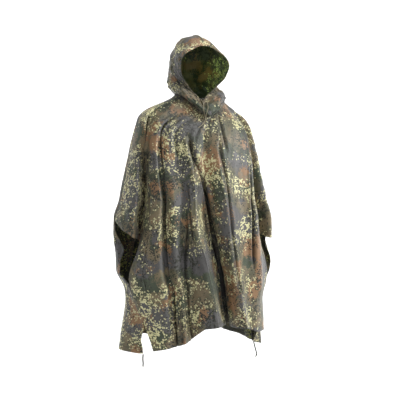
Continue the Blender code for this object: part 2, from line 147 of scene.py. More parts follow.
def ripples(u: Array, v: Array, seed: int, wide: float, tall: float, waves: int = 24) -> Array:
    """Soft irregular relief of about unit height: a sum of sines with random directions and phases.

    Each wave is sin(2 pi (a u / wide + b v / tall) + phase), with a and b drawn from a normal law.

    Args:
        u, v: flat places in metres.
        seed: number that fixes the random draws.
        wide, tall: usual wavelengths along u and v in metres.
        waves: how many sines are added.
    Returns:
        The relief at each place.
    """
    rng = np.random.default_rng(seed)
    total = np.zeros_like(u)
    draws = rng.normal(0, 0.75, waves), rng.normal(0, 0.75, waves), rng.uniform(0, 6.28, waves)
    for a, b, phase in zip(*draws):
        total += np.sin(2 * pi * (a * u / wide + b * v / tall) + phase)
    return total / np.sqrt(waves / 2)


def relaxed(grid: Array, weight: Array, turns: int) -> Array:
    """Grid whose rows are drawn towards the mean of the rows above and below, by weight, several times."""
    grid = grid.copy()
    for _ in range(turns):
        mean = 0.5 * (grid[:-2] + grid[2:])
        grid[1:-1] += 0.5 * weight[1:-1, :, None] * (mean - grid[1:-1])
    return grid


# ---- meshes --------------------------------------------------------------------------------------------
@dataclass
class Sheet:
    """A grid of cloth points with its flat map, the distance to its nearest free edge and its folds.

    folds is 1 at the bottom of a crease and 0 on open cloth, and up to 0.8 along the neck seam. The print is
    darkened by it, as painted shade that makes the creases read from afar and as painted shadow under the hood's
    roll.
    """

    grid: Array
    flat: Array
    edge: Array
    folds: Array

    def mirrored(self) -> "Sheet":
        """The same sheet with its columns in the other order, which turns its outer side round."""
        return Sheet(self.grid[:, ::-1], self.flat[:, ::-1], self.edge[:, ::-1], self.folds[:, ::-1])

    def area(self) -> float:
        """Area of the sheet in square metres, summed over its quads' two triangles."""
        g = self.grid
        one = np.cross(g[1:, :-1] - g[:-1, :-1], g[1:, 1:] - g[:-1, :-1])
        two = np.cross(g[1:, 1:] - g[:-1, :-1], g[:-1, 1:] - g[:-1, :-1])
        return float((np.linalg.norm(one, axis=-1) + np.linalg.norm(two, axis=-1)).sum() / 2)


def grid_mesh(name: str, points: Array, flat: Array, closed: bool = False) -> bpy.types.Mesh:
    """Mesh of quads through a grid of points, with the flat map as its UV.

    Args:
        name: name of the mesh.
        points: grid of points, rows by columns by 3.
        flat: map in metres, rows by columns by 2.
        closed: whether the last column joins the first one, as round a cord.
    Returns:
        The new mesh.
    """
    rows, columns = points.shape[:2]
    index = np.arange(rows * columns).reshape(rows, columns)
    if closed:
        index = np.concatenate([index, index[:, :1]], 1)
    faces = np.stack([index[:-1, :-1], index[1:, :-1], index[1:, 1:], index[:-1, 1:]], -1).reshape(-1, 4)
    mesh = bpy.data.meshes.new(name)
    mesh.vertices.add(rows * columns)
    mesh.vertices.foreach_set("co", points.reshape(-1).astype(np.float32))
    mesh.loops.add(faces.size)
    mesh.loops.foreach_set("vertex_index", faces.reshape(-1).astype(np.int32))
    mesh.polygons.add(len(faces))
    mesh.polygons.foreach_set("loop_start", np.arange(0, faces.size, 4, dtype=np.int32))
    layer = mesh.uv_layers.new(name="Flat")
    layer.data.foreach_set("uv", flat.reshape(-1, 2)[faces.reshape(-1)].reshape(-1).astype(np.float32))
    mesh.update(calc_edges=True)
    mesh.shade_smooth()
    return mesh


def place(name: str, mesh: bpy.types.Mesh, materials: Sequence[bpy.types.Material]) -> bpy.types.Object:
    """Object of that name with those materials, linked to the scene and riding on the body."""
    for material in materials:
        mesh.materials.append(material)
    piece = bpy.data.objects.new(name, mesh)
    bpy.context.scene.collection.objects.link(piece)
    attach(piece, BODY)
    return piece


def cloth(
    name: str,
    sheet: Sheet,
    outside: bpy.types.Material,
    inside: bpy.types.Material,
    wall: float,
    offset: float = 1,
) -> bpy.types.Object:
    """A piece of cloth with a wall: the sheet's mesh, its edge distances and a Solidify.

    Args:
        name: name of the piece.
        sheet: its points, flat map and edge distances.
        outside: material of the side that the normals leave.
        inside: material of the other side.
        wall: thickness in metres.
        offset: 1 lets the wall grow outwards from the points, -1 inwards.
    Returns:
        The new piece.
    """
    mesh = grid_mesh(name, sheet.grid, sheet.flat)
    for label, values in (("edge", sheet.edge), ("folds", sheet.folds)):
        mark = mesh.attributes.new(label, "FLOAT", "POINT")
        mark.data.foreach_set("value", values.reshape(-1).astype(np.float32))
    piece = place(name, mesh, (outside, inside))
    solid = piece.modifiers.new("Wall", "SOLIDIFY")
    solid.thickness = wall
    solid.offset = offset
    solid.material_offset = 1
    solid.material_offset_rim = 0
    return piece


# ---- body panels ---------------------------------------------------------------------------------------
@dataclass(frozen=True)
class Ring:
    """Plain ring of the body at height z: its reach to the wearer's right and left, front and back."""

    z: float
    right: float
    left: float
    front: float
    back: float


@dataclass(frozen=True)
class Fold:
    """One fold line of a panel: bearings in degrees and outs in millimetres at five heights, and its drop."""

    name: str
    b_chest: float
    b_wrist: float
    b_loop: float
    b_thigh: float
    b_hem: float
    o_chest: float
    o_wrist: float
    o_loop: float
    o_thigh: float
    o_hem: float
    drop: float

    def bearings(self) -> tuple[float, ...]:
        """Bearings from the hem up."""
        return (self.b_hem, self.b_thigh, self.b_loop, self.b_wrist, self.b_chest)

    def outs(self) -> tuple[float, ...]:
        """Outs from the hem up."""
        return (self.o_hem, self.o_thigh, self.o_loop, self.o_wrist, self.o_chest)


@dataclass(frozen=True)
class Edge:
    """Point of a sewn side seam: bearing in degrees, out in millimetres and height."""

    bearing: float
    out: float
    z: float


@dataclass(frozen=True)
class Crease:
    """A sharp crease: its path down the panel and its section.

    The path is a row of places (column, height), columns counted in fold lines and heights in metres,
    from the top down. depth and width are millimetres. lean says which lip stands over the valley: -1
    the one towards the first column, 1 the other, 0 none. A negative depth stands out as a ridge.
    """

    path: tuple[tuple[float, float], ...]
    depth: float
    width: float
    lean: float = 0.0

    def column(self, z: Array) -> Array:
        """Column of the path at a height."""
        path = self.path[::-1]
        return smooth([p[1] for p in path], [p[0] for p in path], z)

    def fade(self, z: Array) -> Array:
        """How strong the crease is at a height: 1 on its path, falling to 0 at both ends.

        An end that lies on the cloth's edge, below the height OPEN, keeps its strength.
        """
        top, low = self.path[0][1], self.path[-1][1]
        upper = ease((top - z) / 0.07)
        lower = ease((z - low) / 0.09) if low > OPEN else np.ones_like(z)
        return upper * lower


# Creases that end below this height run out over the hem.
OPEN = -0.86
RINGS = (
    Ring(0.0, 0.215, 0.19, 0.1, 0.095),
    Ring(-0.04, 0.25, 0.21, 0.118, 0.112),
    Ring(-0.12, 0.276, 0.24, 0.142, 0.138),
    Ring(-0.3, 0.309, 0.277, 0.166, 0.168),
    Ring(-0.4, 0.325, 0.3, 0.176, 0.181),
    Ring(-0.48, 0.346, 0.324, 0.182, 0.19),
    Ring(-0.68, 0.34, 0.322, 0.19, 0.2),
    Ring(-0.76, 0.31, 0.307, 0.193, 0.203),
    Ring(-0.82, 0.31, 0.287, 0.196, 0.205),
    Ring(-1.02, 0.322, 0.297, 0.202, 0.212),
)
LEVELS = (-1.02, -0.82, -0.68, -0.48, -0.12)
SIDE_SEAMS = {
    "right": (Edge(-80, 2, -0.73), Edge(-74, 3, -0.805), Edge(-60, 5, -0.885)),
    "left": (Edge(78, 0, -0.8), Edge(77, 0, -0.84), Edge(75, 0, -0.88)),
}
FRONT_FOLDS = (
    Fold("seam_right", -90, -90, -90, -90, -90, 4, 16, 14, 14, 14, -0.48),
    Fold("wing_face_right", -80, -77, -80, -80, -80, 8, 18, 10, 0, 0, -0.512),
    Fold("wing_edge_right", -71, -62, -64, -73, -73, 10, 26, 20, 0, 0, -0.546),
    Fold("arm_valley_right", -68, -76, -78, -84, -84, -14, -80, -70, 0, 0, -0.562),
    Fold("mouth_right", -64, -58, -74, -92, -92, -14, -48, -20, 4, 0, -0.65),
    Fold("closure_start_right", -61, -54, -70, -88, -88, -10, -22, -6, 4, 0, -0.73),
    Fold("slit_top_right", -59, -50, -58, -63, -54, -2, -4, 2, 6, 6, -0.885),
    Fold("corner_right", -57, -47, -52, -55, -50, 4, 8, 10, 8, 8, -0.985),
    Fold("crest_1", -52, -41, -41, -41, -39, 10, 18, 20, 14, 8, -0.975),
    Fold("valley_1", -48, -38, -37, -36, -32, -8, -18, -22, -14, -6, -0.968),
    Fold("crest_2", -41, -32, -30, -28, -27, 8, 14, 16, 14, 10, -0.958),
    Fold("valley_2", -32, -21, -22, -22, -19, 0, -4, -10, -10, -12, -0.942),
    Fold("crest_3", -24, -20, -15, -13, -12, 4, 12, 22, 26, 26, -0.9),
    Fold("valley_edge_right", -18, -16, -10, -6, -2, 6, 24, 38, 40, 38, -0.893),
    Fold("centre_valley", -8, -3, 6, 12, 17, -14, -50, -62, -60, -52, -0.905),
    Fold("valley_edge_left", -2, 3, 8, 14, 21, 2, 8, 8, 10, 12, -0.91),
    Fold("crest_4", 4, 8, 12, 18, 25, 8, 28, 34, 32, 22, -0.912),
    Fold("valley_4", 22, 21, 25, 29, 32, 0, 4, 6, 4, 0, -0.925),
    Fold("crest_5", 41, 33, 36, 40, 39, 8, 20, 24, 18, 8, -0.94),
    Fold("corner_left", 46, 40, 44, 54, 60, 0, 2, 8, 8, 6, -0.945),
    Fold("slit_top_left", 50, 46, 56, 69, 78, -6, -22, -8, 2, 2, -0.88),
    Fold("closure_start_left", 54, 52, 68, 78, 80, -14, -44, -12, 0, 2, -0.8),
    Fold("arm_valley_left", 60, 66, 74, 80, 82, -18, -78, -60, 4, 4, -0.545),
    Fold("wing_edge_left", 66, 64, 66, 80, 82, 8, 16, 14, 4, 4, -0.563),
    Fold("seam_left", 90, 90, 90, 90, 90, 0, 6, 8, 8, 8, -0.548),
)
BACK_FOLDS = (
    Fold("seam_right", -90, -90, -90, -90, -90, 4, 16, 14, 14, 14, -0.48),
    Fold("under_flap_right", -93, -97, -66, -66, -66, 4, 14, -20, 0, 0, -0.575),
    Fold("loop_out_right", -97, -101, -79, -80, -80, 4, 18, 16, 0, 0, -0.646),
    Fold("loop_in_right", -100, -105, -83, -84, -84, 4, 18, 10, 0, 0, -0.677),
    Fold("closure_start_right", -103, -109, -92, -82, -82, 4, 16, 14, 3, 0, -0.73),
    Fold("slit_top_right", -106, -114, -102, -88, -50, 4, 14, 18, 0, 6, -0.885),
    Fold("corner_right", -109, -119, -111, -96, -58, 2, 8, 14, 0, 14, -0.996),
    Fold("side_crest_right", -113, -124, -119, -107, -84, -2, -6, 6, 2, 36, -0.988),
    Fold("arm_valley_right", -117, -129, -126, -121, -116, -14, -44, -20, -10, -6, -0.985),
    Fold("back_crest_1", -125, -138, -136, -134, -132, 8, 22, 24, 20, 18, -0.978),
    Fold("back_valley_1", -137, -148, -147, -146, -145, -2, -16, -22, -22, -18, -0.972),
    Fold("back_crest_2", -150, -160, -159, -158, -158, 6, 16, 22, 22, 20, -0.966),
    Fold("back_valley_2", -166, -171, -171, -171, -170, -4, -22, -34, -36, -34, -0.956),
    Fold("back_crest_3", -180, -183, -184, -185, -185, 6, 20, 26, 28, 26, -0.95),
    Fold("back_valley_3", -194, -196, -198, -199, -200, -2, -12, -20, -24, -24, -0.955),
    Fold("back_crest_4", -208, -209, -211, -212, -213, 6, 16, 20, 22, 22, -0.968),
    Fold("back_valley_4", -222, -221, -223, -225, -226, -2, -14, -22, -20, -16, -0.985),
    Fold("back_crest_5", -234, -230, -232, -236, -238, 8, 20, 20, 16, 14, -1.005),
    Fold("arm_valley_left", -241, -237, -242, -248, -252, -14, -40, -14, -8, -4, -1.02),
    Fold("side_crest_left", -245, -242, -250, -258, -270, -2, 0, 12, 12, 6, -1.03),
    Fold("corner_left", -249, -246, -256, -268, -288, 2, 8, 14, 6, -45, -1.005),
    Fold("slit_top_left", -253, -250, -257, -274, -290, 4, 12, 18, 2, 2, -0.88),
    Fold("closure_start_left", -257, -254, -262, -280, -284, 4, 12, 22, 2, 4, -0.8),
    Fold("loop_out_left", -261, -258, -267, -276, -280, 4, 10, 42, 4, 4, -0.67),
    Fold("under_flap_left", -265, -261, -274, -280, -280, 2, 8, 10, 4, 4, -0.59),
    Fold("seam_left", -270, -270, -270, -270, -270, 0, 6, 8, 8, 8, -0.548),
)
FRONT_CREASES = (
    Crease(((2.5, -0.03), (3.0, -0.16), (2.9, -0.30), (2.75, -0.44), (2.7, -0.58)), 18, 6, -1),
    Crease(((8.3, -0.05), (9.1, -0.18), (9.4, -0.30), (9.25, -0.50), (9.3, -0.71), (9.2, -1.0)), 18, 5, -1),
    Crease(((11.2, -0.46), (10.9, -0.62), (10.8, -0.79), (11.1, -1.0)), 7, 6, 1),
    Crease(((12.4, -0.13), (13.4, -0.27), (14.2, -0.45), (14.4, -0.58), (14.5, -0.72)), 24, 11, 1),
    Crease(((14.3, -0.52), (14.2, -0.66), (14.1, -0.80), (14.0, -1.0)), 26, 24, 1),
    Crease(((11.8, -0.30), (12.0, -0.44), (12.2, -0.62)), 7, 6, -1),
    Crease(((16.0, -0.14), (16.2, -0.33), (16.0, -0.55), (15.9, -0.80)), 8, 7, 1),
    Crease(((16.7, -0.02), (16.4, -0.12), (16.5, -0.24)), 8, 6, 0),
    Crease(((18.6, -0.06), (18.1, -0.25), (17.7, -0.52), (17.5, -0.70)), 15, 6, 1),
    Crease(((9.6, -0.80), (9.9, -1.0)), 6, 7, 0),
    Crease(((6.5, -0.40), (6.3, -0.60), (6.4, -0.80)), 6, 7, 0),
    Crease(((12.9, -0.06), (13.2, -0.14), (13.0, -0.24)), 6, 8, 0),
    Crease(((10.4, -0.04), (10.7, -0.14), (11.0, -0.28)), 6, 7, 1),
    Crease(((20.6, -0.30), (20.4, -0.50), (20.2, -0.66)), 8, 8, 0),
)
BACK_CREASES = (
    Crease(((9.4, -0.10), (10.0, -0.26), (10.1, -0.52), (10.0, -1.0)), 13, 6, 1),
    Crease(((12.3, -0.06), (12.0, -0.22), (12.1, -0.50), (12.2, -0.80)), 12, 6, -1),
    Crease(((14.2, -0.05), (14.0, -0.30), (13.9, -0.60), (14.0, -1.0)), 14, 6, 1),
    Crease(((16.3, -0.10), (16.0, -0.34), (16.1, -0.70)), 12, 6, -1),
    Crease(((18.2, -0.12), (18.0, -0.36), (18.1, -0.60), (18.3, -1.0)), 12, 6, -1),
    Crease(((7.7, -0.08), (8.1, -0.30), (8.0, -0.60)), 14, 6, 1),
    Crease(((10.9, -0.40), (11.1, -0.60), (11.0, -1.0)), 7, 7, 0),
    Crease(((15.0, -0.50), (15.2, -0.72), (15.0, -1.0)), 7, 7, 0),
)


@dataclass
class Body:
    """Sizes that both panels share: the neck seam, the fall from it to the rings, and the seams' gap."""

    neck_side: float = 0.098
    neck_front: float = 0.112
    neck_back: float = 0.092
    neck_z_side: float = 0.04
    neck_z_front: float = -0.06
    neck_z_back: float = 0.04
    cap_right: float = 0.093
    cap_left: float = 0.11
    cap_front: float = 0.085
    cap_back: float = 0.085
    cap_share: tuple[float, ...] = (0.0, 0.3, 0.6, 0.85, 1.0)
    cap_cover: tuple[float, ...] = (0.0, 0.2, 0.62, 0.9, 1.0)
    row_bias: float = 1.35
    edge_blend: float = 5

    def ring_point(self, bearing: Array, out: Array, z: Array) -> Array:
        """Plan place (side sin b, -depth cos b) on the ring at height z, moved along its normal.

        Args:
            bearing: degrees from the front, minus towards the wearer's right.
            out: metres outwards.
            z: height.
        Returns:
            x and y of each place.
        """
        rows = RINGS[::-1]
        zs = [r.z for r in rows]
        angle = np.radians(bearing)
        sine, cosine = np.sin(angle), np.cos(angle)
        right, left = smooth(zs, [r.right for r in rows], z), smooth(zs, [r.left for r in rows], z)
        front, back = smooth(zs, [r.front for r in rows], z), smooth(zs, [r.back for r in rows], z)
        side = np.where(sine < 0, right, left)
        depth = np.where(cosine > 0, front, back)
        normal = unit(np.stack([sine / side, -cosine / depth], -1))
        return np.stack([side * sine, -depth * cosine], -1) + out[..., None] * normal

    def by_side(self, bearing: Array, right: float, left: float, front: float, back: float) -> Array:
        """A size with its own value at each side, in front and behind, blended by the cosine squared."""
        angle = np.radians(bearing)
        side = np.where(np.sin(angle) < 0, right, left)
        end = np.where(np.cos(angle) > 0, front, back)
        return side + (end - side) * np.cos(angle) ** 2

    def neck(self, bearing: Array) -> Array:
        """Point of the neck seam, an oval, at a bearing in degrees."""
        angle = np.radians(bearing)
        sine, cosine = np.sin(angle), np.cos(angle)
        depth = np.where(cosine > 0, self.neck_front, self.neck_back)
        z = self.by_side(bearing, self.neck_z_side, self.neck_z_side, self.neck_z_front, self.neck_z_back)
        return np.stack([self.neck_side * sine, -depth * cosine, z], -1)

    def side_seam(self, side: str, share: Array) -> Array:
        """Point of a side seam, share running from 0 at the sleeve's mouth to 1 at the slit."""
        rows = SIDE_SEAMS[side]
        steps = np.linspace(0, 1, len(rows))
        bearing = np.interp(share, steps, [r.bearing for r in rows])
        out = np.interp(share, steps, [r.out for r in rows]) * MM
        z = np.interp(share, steps, [r.z for r in rows])
        return np.concatenate([self.ring_point(bearing, out, z), z[..., None]], -1)


@dataclass
class Panel:
    """One body panel: its fold lines, its creases, and how finely it is drawn."""

    name: str
    folds: Sequence[Fold]
    creases: Sequence[Crease]
    seed: int
    steps: int
    frame_steps: int
    rows: int = 125
    body: Body = field(default_factory=Body)
    wrinkle: float = 1.8
    pucker: float = 0.8
    turned: bool = False

    def column_of(self, name: str) -> float:
        """Place of the fold line of that name among the fold lines."""
        return float([f.name for f in self.folds].index(name))

    def across(self, where: Array, z: Array) -> Array:
        """Plan place on the panel by centripetal Catmull-Rom across its fold lines.

        Args:
            where: column, counted in fold lines from the wearer's right.
            z: height.
        Returns:
            x and y of each place.
        """
        last = len(self.folds) - 1
        lines = np.stack(
            [
                self.body.ring_point(smooth(LEVELS, f.bearings(), z), smooth(LEVELS, f.outs(), z) * MM, z)
                for f in self.folds
            ],
            0,
        )
        lines = np.concatenate([2 * lines[:1] - lines[1:2], lines, 2 * lines[-1:] - lines[-2:-1]], 0)
        low = np.clip(np.floor(where).astype(int), 0, last - 1)
        pick = np.broadcast_to(low[None, ..., None], (1, *low.shape, 2))
        p0, p1, p2, p3 = (np.take_along_axis(lines, pick + k, 0)[0] for k in range(4))
        return curve_between(p0, p1, p2, p3, where - low)

    def columns(self) -> Array:
        """Columns of the fine grid, counted in fold lines and closer together near the creases.

        The density at a column is the width that a fold has there at the chest and at the loop, plus a
        bell over each crease. Columns are spread evenly over its sum.
        """
        last = len(self.folds) - 1
        fine = np.linspace(0, last, last * 60 + 1)
        level = np.array([-0.30, -0.60, -0.85])[:, None] * np.ones_like(fine)
        plan = self.across(np.broadcast_to(fine, level.shape), level)
        wide = np.linalg.norm(np.gradient(plan, axis=1), axis=-1).max(0)
        dense = wide / wide.mean() + 0.25
        for crease in self.creases:
            for z in (crease.path[0][1], crease.path[-1][1], 0.5 * (crease.path[0][1] + crease.path[-1][1])):
                dense += 1.6 * np.exp(-(((fine - crease.column(np.array(z))) / 0.45) ** 2))
        total = np.concatenate([[0], np.cumsum(0.5 * (dense[1:] + dense[:-1]))])
        return np.interp(np.linspace(0, total[-1], self.steps * last + 1), total, fine)

    def plain(self) -> Array:
        """Grid of the panel before creases: rows fall from the neck seam to the cloth's edge.

        Above the cap's depth a point lies between the neck seam and the ring, by the cap's cover. Below,
        it lies on the curve across the fold lines. The edges that a side seam joins are drawn to it.
        """
        spread = self.columns()
        last = len(self.folds) - 1
        index = np.arange(last + 1)
        body = self.body
        t = np.linspace(0, 1, self.rows + 1)[:, None] ** body.row_bias
        drop = np.interp(spread, index, [f.drop for f in self.folds])
        chest = [f.b_chest for f in self.folds]
        start = np.interp(spread, index, chest)
        even = np.interp(spread, [0, last], [chest[0], chest[-1]])
        top = body.neck(0.5 * start + 0.5 * even)
        z = top[:, 2] + (drop - top[:, 2]) * t
        cap = body.by_side(start, body.cap_right, body.cap_left, body.cap_front, body.cap_back)
        cover = smooth(body.cap_share, body.cap_cover, np.clip((top[:, 2] - z) / cap, 0, 1))
        full = self.across(np.broadcast_to(spread, z.shape), np.minimum(z, top[:, 2] - cap))
        plan = top[:, :2] + (full - top[:, :2]) * cover[..., None]
        grid = np.concatenate([plan, z[..., None]], -1)
        for side in SIDE_SEAMS:
            first = self.column_of("closure_start_" + side)
            second = self.column_of("slit_top_" + side)
            share = (spread - first) / (second - first)
            outside = np.maximum(np.maximum(-share, share - 1), 0) * abs(second - first)
            weight = np.clip(1 - outside * self.frame_steps, 0, 1)
            held = np.clip(share, 0, 1)
            move = body.side_seam(side, held) - self.edge_at(grid, held, first, second)
            grid += move * (weight * t**body.edge_blend)[..., None]
        return relaxed(grid, ease((z + 0.24) / 0.12), 40)

    def edge_at(self, grid: Array, share: Array, first: float, second: float) -> Array:
        """Points of the lower edge between two columns, share running from 0 to 1 between them."""
        spread, at = self.columns(), first + share * (second - first)
        return np.stack([np.interp(at, spread, grid[-1, :, k]) for k in range(3)], -1)

    def sheet(self) -> Sheet:
        """The finished panel: plain grid, creases, wrinkles and puckered hem, with its flat map."""
        grid = self.plain()
        u, v = lengths(grid, 1), lengths(grid, 0)
        middle = u[:, u.shape[1] // 2][:, None]
        u = u - middle
        left = v[-1:] - v
        spread, z = np.broadcast_to(self.columns(), u.shape), grid[..., 2]
        depth, slide, folds = self.creased(spread, z, u)
        soft = ripples(u, v, self.seed, 0.085, 0.42) * 0.6 + ripples(u, v, self.seed + 1, 0.2, 0.16) * 0.4
        fine = ripples(u, v, self.seed + 2, 0.035, 0.05)
        calm = ease(v / 0.10) * ease((u - u[:, :1]) / 0.03) * ease((u[:, -1:] - u) / 0.03)
        relief = (soft * self.wrinkle + fine * 0.35) * MM * calm
        hem = np.exp(-((left / 0.03) ** 2)) * ease((u - u[:, :1]) / 0.03) * ease((u[:, -1:] - u) / 0.03)
        relief += ripples(u, v, self.seed + 3, 0.03, 0.5) * self.pucker * MM * hem
        outward = -normals(grid) if self.turned else normals(grid)
        sideways = unit(np.gradient(grid, axis=1))
        points = grid - outward * (depth - relief)[..., None] + sideways * slide[..., None]
        # Painted shadow under the hood's roll: the print is darkened along the neck seam, on top of the creases'
        # painted shade.
        folds = np.clip(folds + 0.8 * np.exp(-((v / 0.012) ** 2)), 0, 1)
        sheet = Sheet(points, np.stack([u, -v], -1), left, folds)
        return sheet.mirrored() if self.turned else sheet

    def creased(self, spread: Array, z: Array, u: Array) -> tuple[Array, Array, Array]:
        """Depth of all creases at each point, and how far the lips slide over their valleys.

        With x the distance from the path over the width, the valley is exp(-x^2), and a lower rim
        0.3 exp(-(|x| - 2.1)^2) stands out on both sides. The lip on the leaning side slides over the
        valley by 0.25 depth times exp(-(x - lean)^2).

        Args:
            spread: column of each point.
            z: height of each point.
            u: running length along each row.
        Returns:
            Depth inwards and slide along the rows in metres, and how far each point lies down a fold,
            up to 1.
        """
        depth, slide, folds = np.zeros_like(u), np.zeros_like(u), np.zeros_like(u)
        pitch = np.gradient(u, axis=1) / np.gradient(spread, axis=1)
        for crease in self.creases:
            x = (spread - crease.column(z)) * pitch / (crease.width * MM)
            strength = crease.depth * MM * crease.fade(z)
            depth += strength * (np.exp(-(x**2)) - 0.3 * np.exp(-((abs(x) - 2.1) ** 2)))
            slide -= 0.25 * crease.lean * strength * np.exp(-((x - 1.2 * crease.lean) ** 2))
            folds += np.clip(crease.depth / 12, 0, 1) * crease.fade(z) * np.exp(-(abs(x / 1.5) ** 2.5))
        return depth, slide, folds


# ---- hood ----------------------------------------------------------------------------------------------
@dataclass(frozen=True)
class HoodRing:
    """Level ring of the hood at t from the neck seam (0) to the crown (1).

    rim is the bearing of the face edge, y_rim and y_back are the ring's ends, z is given at its rim, side
    and back, and sway moves the whole ring sideways.
    """

    name: str
    t: float
    rim: float
    width: float
    y_rim: float
    y_back: float
    z_rim: float
    z_side: float
    z_back: float
    sway: float


HOOD_RINGS = (
    HoodRing("seam", 0.0, 0, 0.098, -0.112, 0.092, -0.06, 0.038, 0.04, 0.0),
    HoodRing("roll", 0.07, 0, 0.114, -0.134, 0.104, -0.066, 0.046, 0.046, -0.003),
    HoodRing("throat", 0.15, 0, 0.113, -0.128, 0.112, -0.046, 0.064, 0.062, -0.008),
    HoodRing("chin", 0.29, 2, 0.105, -0.078, 0.122, 0.0, 0.094, 0.088, -0.011),
    HoodRing("jaw", 0.41, 33, 0.107, -0.062, 0.132, 0.062, 0.122, 0.118, -0.009),
    HoodRing("cheek", 0.53, 60, 0.117, -0.068, 0.139, 0.115, 0.15, 0.148, -0.005),
    HoodRing("temple", 0.64, 68, 0.118, -0.076, 0.141, 0.158, 0.18, 0.18, -0.001),
    HoodRing("brow", 0.75, 54, 0.109, -0.076, 0.138, 0.193, 0.215, 0.212, 0.0),
    HoodRing("upper", 0.86, 36, 0.084, -0.074, 0.13, 0.217, 0.251, 0.238, 0.0),
    HoodRing("top", 0.95, 30, 0.047, -0.069, 0.118, 0.23, 0.285, 0.254, 0.0),
    HoodRing("crown", 1.0, 28, 0.0, -0.066, 0.108, 0.234, 0.3, 0.262, 0.0),
)


@dataclass(frozen=True)
class HoodCrease:
    """Crease of a hood half from t_high down to t_low at those s, with its depth and width in mm."""

    s_high: float
    s_low: float
    t_high: float
    t_low: float
    depth: float
    width: float


HOOD_CREASES: dict[str, tuple[HoodCrease, ...]] = {
    "right": (
        HoodCrease(0.26, 0.16, 0.66, 0.22, 5, 5),
        HoodCrease(0.50, 0.44, 0.90, 0.40, 3, 7),
    ),
    "left": (
        HoodCrease(0.55, 0.40, 0.90, 0.36, 4, 5),
        HoodCrease(0.30, 0.26, 0.70, 0.30, 3, 6),
    ),
}


